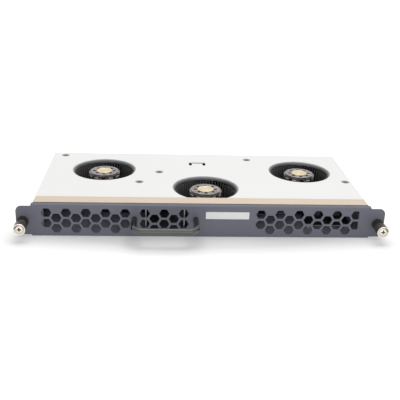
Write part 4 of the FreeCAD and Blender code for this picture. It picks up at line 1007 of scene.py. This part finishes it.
@dataclass
class RoofScrews(Piece):
    """Low cross-recessed screws in dimples on the roof, turned by some radians from one to the next."""

    radius: float = 4.2 * MM
    dome: float = 0.12 * MM
    skirt: float = 0.45 * MM
    cap_rings: int = 22
    arm: float = 2.8 * MM
    arm_half: float = 1.6 * MM
    arm_deep: float = 1.0 * MM
    first_turn: float = 0.4
    next_turn: float = 1.1
    dimple: float = 5.78 * MM
    dimple_deep: float = 0.64 * MM
    slope_drop: float = 0.03 * MM
    slope_gap: float = 0.02 * MM
    slope_thick: float = 0.05 * MM
    slope_steps: int = 48

    def spots(self) -> list[Vector]:
        """Find the screws, which are separate solids of their node.

        Returns:
            The middle of each screw.
        """
        mesh = bmesh.new()
        mesh.from_mesh(frame["nodes"]["blower_screws"].data)
        bmesh.ops.remove_doubles(mesh, verts=mesh.verts, dist=TOUCH)
        seen: set[Vertex] = set()
        found = []
        for vert in mesh.verts:
            if vert in seen:
                continue
            seen.add(vert)
            island, queue = [], [vert]
            while queue:
                here = queue.pop()
                island.append(here.co.copy())
                fresh = {edge.other_vert(here) for edge in here.link_edges} - seen
                seen |= fresh
                queue += fresh
            low, high = (Vector(map(pick, *island)) for pick in (min, max))
            found.append((low + high) / 2)
        mesh.free()
        return found

    def build(self) -> None:
        """Build all the screws as one piece in place of their solids, and the slopes round them."""
        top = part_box("blower_screws")[1].z

        def surface(x: float, y: float) -> float:
            """Return the head's height at a point."""
            recess = self.arm_deep * cross_recess(x, y, self.arm, self.arm_half)
            return top - self.dome * (math.hypot(x, y) / self.radius) ** 2 - recess

        spots = self.spots()
        self.slopes(spots)
        mesh = bmesh.new()
        for number, spot in enumerate(spots):
            place = upright(spot) @ Matrix.Rotation(self.first_turn + self.next_turn * number, 4, "Z")
            mesh.faces.new(domed_cap(mesh, self.radius, surface, place, self.cap_rings, -self.skirt))
        self.settle("roof_screws", mesh, "tray", "screw_steel", "blower_screws", sharp=40)

    def slopes(self, spots: Sequence[Vector]) -> None:
        """Build the sloping walls of all dimples as one piece.

        Args:
            spots: The middle of each screw.
        """
        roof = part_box("sheet_shell")[1].z
        rim, floor = roof - self.slope_drop, roof - self.dimple_deep
        foot, thick = self.radius + self.slope_gap, self.slope_thick
        profile = [(self.dimple, rim), (self.dimple, rim - thick), (foot, floor), (foot, floor + thick)]
        mesh = bmesh.new()
        for spot in spots:
            turned(mesh, profile, self.slope_steps, upright(spot))
        self.settle("dimple_slopes", mesh, "tray", "screw_steel", sharp=40)


@dataclass
class Gasket(Piece):
    """Foam strip wrapped in metallised cloth along the front of the roof."""

    corner: float = 0.9 * MM
    corner_steps: int = 5
    lengthwise: int = 220
    ripple: float = 0.12 * MM
    waves: tuple[Pair, Pair] = ((61.0, 0.0), (23.0, 1.3))
    end_run: float = 0.9 * MM
    end_drop: float = 0.35

    def build(self) -> None:
        """Build the strip in place of its solid."""
        low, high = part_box("conductive_gasket")
        section = self.section(low, high)
        length, thick = high.x - low.x, high.z - low.z
        mesh = bmesh.new()
        loops = []
        for step in range(self.lengthwise + 1):
            share = step / self.lengthwise
            swell = sum(math.sin(share * pace + start) for pace, start in self.waves) / len(self.waves)
            end = 1 - self.end_drop * (1 - fade(min(share, 1 - share) * length, 0.0, self.end_run))
            factor = end - abs(self.ripple * swell) / thick
            loops.append([mesh.verts.new((low.x + length * share, y, low.z + (z - low.z) * factor))
                          for y, z in section])
        bridge(mesh, loops, capped=True)
        strip = self.settle("wrapped_gasket", mesh, "tray", "gasket_fabric", "conductive_gasket", sharp=60)

    def section(self, low: Vector, high: Vector) -> list[Pair]:
        """Return the strip's section, from its lower corners over its rounded top.

        Args:
            low: The box's lowest corner.
            high: The box's highest corner.

        Returns:
            The points' y and z.
        """
        r, steps = self.corner, self.corner_steps
        return [(high.y, low.z), (low.y, low.z), *arc((low.y + r, high.z - r), (r, r), 180, 90, steps),
                *arc((high.y - r, high.z - r), (r, r), 90, 0, steps)]


@dataclass
class Label(Piece):
    """The bare label with rounded corners."""

    corner: float = 0.9 * MM
    corner_steps: int = 5
    soft_edge: float = 0.06 * MM

    def build(self) -> None:
        """Build the label in place of its solid."""
        low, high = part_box("blank_label")
        r = self.corner
        left, right, foot, top = low.x + r, high.x - r, low.z + r, high.z - r
        outline = []
        for number, centre in enumerate(((right, top), (left, top), (left, foot), (right, foot))):
            outline += arc(centre, (r, r), 90 * number, 90 * number + 90, self.corner_steps)
        mesh = bmesh.new()
        loops = [[mesh.verts.new((x, y, z)) for x, z in outline] for y in (low.y, high.y)]
        bridge(mesh, loops, capped=True)
        front = [edge for edge in mesh.edges if all(vert.co.y < low.y + TOUCH for vert in edge.verts)]
        bmesh.ops.bevel(mesh, geom=front, offset=self.soft_edge, segments=2, affect="EDGES")
        self.settle("bare_label", mesh, "tray", "label_white", "blank_label", sharp=50)


@dataclass
class Knob(Piece):
    """A captive screw's knurled knob: a sleeve with a front cup and an open skirt."""

    side: str
    knurls: int = 40
    knurl_steps: int = 6
    knurl_deep: float = 0.28 * MM
    knurled_rings: tuple[int, int] = (2, 3)
    cut: float = 0.7 * MM
    ease: float = 0.1 * MM
    soft: float = 0.3 * MM
    lip: float = 0.25 * MM
    skirt_wall: float = 1.4 * MM
    rim: float = 1.3 * MM
    cup: float = 2.4 * MM
    shoulder: float = 7.0 * MM
    bore: float = 1.9 * MM
    wall_gap: float = 0.06 * MM
    wall_foot: float = 5.25 * MM
    wall_skin: float = 0.04 * MM
    wall_steps: int = 96

    def build(self) -> None:
        """Build the knob in place of its solid, and the sloping wall of its cup."""
        low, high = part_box(f"{self.side}_knob")
        place = lying(middle_of(f"{self.side}_captive_screw"))
        radius, body = (high.z - low.z) / 2, f"{self.side}_screw_knob"
        profile = self.profile(radius, low.y, high.y)
        mesh = bmesh.new()
        turned(mesh, profile, self.knurls * self.knurl_steps, place, True, self.knurl)
        self.settle(f"{self.side}_knurled_knob", mesh, body, "knob_nickel", f"{self.side}_knob", sharp=30)
        mouth, foot, skin = radius - self.rim - self.wall_gap, self.wall_foot, self.wall_skin
        near, far = low.y + self.soft, low.y + self.cup - self.soft
        wall = [(mouth, near), (foot, far), (foot + skin, far), (mouth + skin, near)]
        mesh = bmesh.new()
        turned(mesh, wall, self.wall_steps, place)
        self.settle(f"{self.side}_cup_wall", mesh, body, "knob_nickel", sharp=30)

    def profile(self, radius: float, front: float, back: float) -> list[Pair]:
        """Return the knob's profile, back along its grip and forward through its bore.

        Args:
            radius: The grip's radius.
            front: Where the knob starts along its axis.
            back: Where it ends.

        Returns:
            Radius and height of each ring.
        """
        cut, soft, eased = self.cut, self.soft, radius - self.ease
        skirt, mouth = radius - self.skirt_wall, radius - self.rim
        shoulder, floor = front + self.shoulder, front + self.cup
        grip = [(radius - cut, front), (eased, front + cut), (radius, front + cut + soft),
                (radius, back - cut - soft), (eased, back - cut), (radius - cut, back)]
        return grip + [(skirt, back), (skirt, shoulder), (self.bore, shoulder), (self.bore, floor),
                       (mouth - soft, floor), (mouth, front + self.lip), (mouth + soft, front)]

    def knurl(self, number: int, angle: float, plain: float) -> float:
        """Cut the knurl's grooves into the grip's rings.

        Args:
            number: The ring's number in the profile.
            angle: Angle about the axis.
            plain: The ring's plain radius.

        Returns:
            The radius there.
        """
        if number not in self.knurled_rings:
            return plain
        return plain - self.knurl_deep * (1 - abs(math.sin(angle * self.knurls / 2)))


@dataclass
class CrossScrew(Piece):
    """A captive screw: domed head with a cross recess, slim neck and threaded end."""

    side: str
    radius: float = 5.1 * MM
    head_high: float = 1.9 * MM
    dome_share: float = 0.8
    dome_power: float = 2.6
    cap_rings: int = 26
    arm_share: float = 0.66
    arm_half: float = 1.1 * MM
    arm_deep: float = 1.7 * MM
    neck: float = 1.9 * MM
    thread_radius: float = 2.5 * MM
    thread_gap: float = 0.3 * MM
    thread_steps: int = 48
    pitch: float = 0.8 * MM
    rows_a_turn: int = 6
    groove: float = 0.45 * MM
    run_out: float = 0.8 * MM
    taper: float = 0.5 * MM
    tip_radius: float = 0.2 * MM

    def build(self) -> None:
        """Build the screw in place of its solid."""
        low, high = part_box(f"{self.side}_captive_screw")
        place = lying((low + high) / 2)
        seat = low.y + self.head_high
        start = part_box("sheet_shell")[0].y + self.thread_gap

        def surface(x: float, y: float) -> float:
            """Find how far back the head's skin is.

            Args:
                x: A point's first coordinate, from the screw's axis.
                y: Its second coordinate.

            Returns:
                The height along the axis.
            """
            dome = self.head_high * self.dome_share * (math.hypot(x, y) / self.radius) ** self.dome_power
            recess = cross_recess(x, y, self.radius * self.arm_share, self.arm_half)
            return low.y + dome + self.arm_deep * recess

        mesh = bmesh.new()
        domed_cap(mesh, self.radius, surface, place, self.cap_rings, self.head_high * (1 - self.dome_share))
        turned(mesh, [(self.radius, seat), (self.neck, seat), (self.neck, start)], CAP_STEPS, place, False)
        self.thread(mesh, place, start, high.y)
        self.settle(f"{self.side}_cross_screw", mesh, f"{self.side}_screw_knob", "screw_steel",
                    f"{self.side}_captive_screw")

    def thread(self, mesh: Mesh, place: Matrix, start: float, end: float) -> None:
        """Add a threaded end.

        Args:
            mesh: The screw's mesh.
            place: Matrix to the screw's axis.
            start: Where it starts along the axis.
            end: Where it ends.
        """
        length = end - start
        rows = int(length / self.pitch * self.rows_a_turn)
        rings = [(self.thread_radius, start + length * row / rows) for row in range(rows + 1)]

        def helix(number: int, angle: float, plain: float) -> float:
            """Cut the thread's groove.

            Args:
                number: The ring's number in the profile.
                angle: Angle about the axis.
                plain: The ring's plain radius.

            Returns:
                The radius there.
            """
            if number in (0, rows + 2):
                return plain
            along = length * (number - 1) / rows
            phase = (along / self.pitch - angle / math.tau) % 1.0
            tip = fade(length - along, 0.0, self.run_out)
            return plain - self.groove * (1 - abs(2 * phase - 1)) - self.taper * (1 - tip)

        profile = [(self.neck, start), *rings, (self.tip_radius, end)]
        turned(mesh, profile, self.thread_steps, place, False, helix)


@dataclass
class Spring(Piece):
    """The coil spring behind a knob; the real one shortens as the screw is pushed in, but this piece keeps
    its length and stays on the tray.
    """

    side: str
    wire: float = 0.4 * MM
    turns: int = 5
    turn_steps: int = 24
    wire_sides: int = 8

    def build(self) -> None:
        """Build the spring in place of its solid."""
        low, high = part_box(f"{self.side}_spring")
        centre = (low + high) / 2
        place, wire, steps = lying(centre), self.wire, self.turns * self.turn_steps
        radius, length = (high.z - low.z) / 2 - wire, high.y - low.y - 2 * wire
        around = [polar(wire, math.tau * part / self.wire_sides) for part in range(self.wire_sides)]
        mesh = bmesh.new()
        loops = []
        for step in range(steps + 1):
            angle = -math.tau * step / self.turn_steps
            along = low.y + wire + length * step / steps
            spots = [polar(radius + part.x, angle, along + part.y) for part in around]
            loops.append([mesh.verts.new(place @ spot) for spot in spots])
        bridge(mesh, loops, capped=True)
        coil = self.settle(f"{self.side}_coil_spring", mesh, "tray", "spring_steel", f"{self.side}_spring",
                           sharp=50)
        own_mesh(coil)


# -- Stage -------------------------------------------------
@dataclass(frozen=True)
class Lamp:
    """A soft area lamp that faces the origin."""

    name: str
    spot: Point
    size: Pair
    power: float

    def build(self) -> None:
        """Make the lamp."""
        data = bpy.data.lights.new(self.name, "AREA")
        data.shape = "RECTANGLE"
        data.size, data.size_y = self.size
        data.energy = self.power
        lamp = place_object(self.name, data)
        lamp.location = self.spot
        lamp.rotation_euler = (-Vector(self.spot)).to_track_quat("-Z", "Y").to_euler()


@dataclass(frozen=True)
class Studio:
    """Floor, soft light and camera. Angles are in degrees."""

    place: Point = (-0.05999, -0.90967, 0.37979)
    yaw: float = 3.92
    pitch: float = 22.19
    roll: float = 2.08
    lens: float = 60.48
    sensor: float = 36.0
    nearest: float = 0.01
    surround: float = 0.55
    floor_half: float = 20.0
    floor_parts: int = 4
    floor_gap: float = 0.05 * MM
    floor_colour: Colour = (0.93, 0.93, 0.93)
    floor_roughness: float = 0.9
    floor_gloss: float = 0.1
    glow_middle: Point = (0.0, -0.11, 0.0)
    glow_scale: Point = (0.2, 1.0, 0.0)
    glow_reach: Pair = (0.03, 0.15)
    lamps: tuple[Lamp, ...] = (
        Lamp("TopSoftbox", (0.1, 0.35, 1.7), (2.0, 1.6), 10.2),
        Lamp("StripLamp", (0.05, -0.25, 1.25), (1.1, 0.05), 1.6),
        Lamp("FrontSoftbox", (0.2, -1.5, 0.62), (2.2, 1.2), 4.5),
    )

    def build(self) -> None:
        """Set the whole stage."""
        self.camera()
        for lamp in self.lamps:
            lamp.build()
        self.world()
        self.floor()
        bpy.context.scene.view_settings.view_transform = "Standard"

    def camera(self) -> None:
        """Make the scene's camera."""
        yaw, pitch, roll = (math.radians(angle) for angle in (self.yaw, self.pitch, self.roll))
        data = bpy.data.cameras.new("Camera")
        data.lens = self.lens
        data.sensor_width = self.sensor
        data.clip_start = self.nearest
        made = place_object("Camera", data)
        aim = Matrix.Rotation(-yaw, 4, "Z") @ Matrix.Rotation(math.pi / 2 - pitch, 4, "X")
        made.matrix_world = Matrix.Translation(self.place) @ aim @ Matrix.Rotation(roll, 4, "Z")
        bpy.context.scene.camera = made

    def world(self) -> None:
        """Make the plain surround, which is white where it is seen."""
        world = bpy.data.worlds.new("Surround")
        world.use_nodes = True
        tree = world.node_tree
        strength = add_node(tree, "MapRange", {"Value": self.seen(tree), "To Min": self.surround})
        feed(find_node(tree, "BACKGROUND"), {"Color": (1, 1, 1, 1), "Strength": strength.outputs["Result"]})
        bpy.context.scene.world = world

    def seen(self, tree: Tree) -> Socket:
        """Add the mask of rays that show the backdrop: the camera's, and those off metal and through glass.

        Args:
            tree: The nodes of the floor or the surround.

        Returns:
            The mask's socket.
        """
        path = add_node(tree, "LightPath", {}).outputs
        either = reckon(tree, "MAXIMUM", path["Is Camera Ray"], path["Is Glossy Ray"])
        return reckon(tree, "MAXIMUM", either, path["Is Transmission Ray"])

    def floor(self) -> None:
        """Make the pale floor the tray stands on, which painted light turns white away from it."""
        mesh = bmesh.new()
        parts = self.floor_parts
        bmesh.ops.create_grid(mesh, x_segments=parts, y_segments=parts, size=self.floor_half)
        made = make_object("StudioFloor", mesh)
        made.location.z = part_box("bottom_cover")[0].z - self.floor_gap
        material, tree = new_material("FloorPaper")
        shader = find_node(tree, "BSDF_PRINCIPLED")
        feed(shader, {"Base Color": (*self.floor_colour, 1), "Roughness": self.floor_roughness,
                      "Specular IOR Level": self.floor_gloss})
        self.glow(tree, shader)
        made.data.materials.append(material)

    def glow(self, tree: Tree, shader: Node) -> None:
        """Add painted light that lifts the floor to white for the camera and for reflections, more with the
        distance from the tray, so that a darker patch is left in front of it.

        Args:
            tree: The floor material's nodes.
            shader: The floor's own shader.
        """
        away = add_node(tree, "VectorMath", {0: own_place(tree), 1: self.glow_middle}, operation="SUBTRACT")
        flat = add_node(tree, "VectorMath", {0: away.outputs[0], 1: self.glow_scale}, operation="MULTIPLY")
        reach = add_node(tree, "VectorMath", {0: flat.outputs[0]}, operation="LENGTH").outputs["Value"]
        near, far = self.glow_reach
        ramp = add_node(tree, "MapRange", {"Value": reach, "From Min": near, "From Max": far})
        strength = reckon(tree, "MULTIPLY", ramp.outputs["Result"], self.seen(tree))
        light = add_node(tree, "Emission", {"Strength": strength})
        both = add_node(tree, "AddShader", {0: shader.outputs[0], 1: light.outputs[0]})
        feed(find_node(tree, "OUTPUT_MATERIAL"), {"Surface": both.outputs[0]})


def main() -> None:
    """Build every sub-assembly and report each piece."""
    logging.basicConfig(level=logging.INFO, format="%(message)s")
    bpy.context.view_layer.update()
    Studio().build()
    paint = Paint()
    paint.dress_nodes()
    for side in SIDES:
        Impeller(paint, side).build()
        Boss(paint, side).build()
        InletRing(paint, side).build()
    RoofScrews(paint).build()
    Gasket(paint).build()
    Label(paint).build()
    for side in ENDS:
        Knob(paint, side).build()
        CrossScrew(paint, side).build()
        Spring(paint, side).build()


if __name__ == "__main__":
    main()
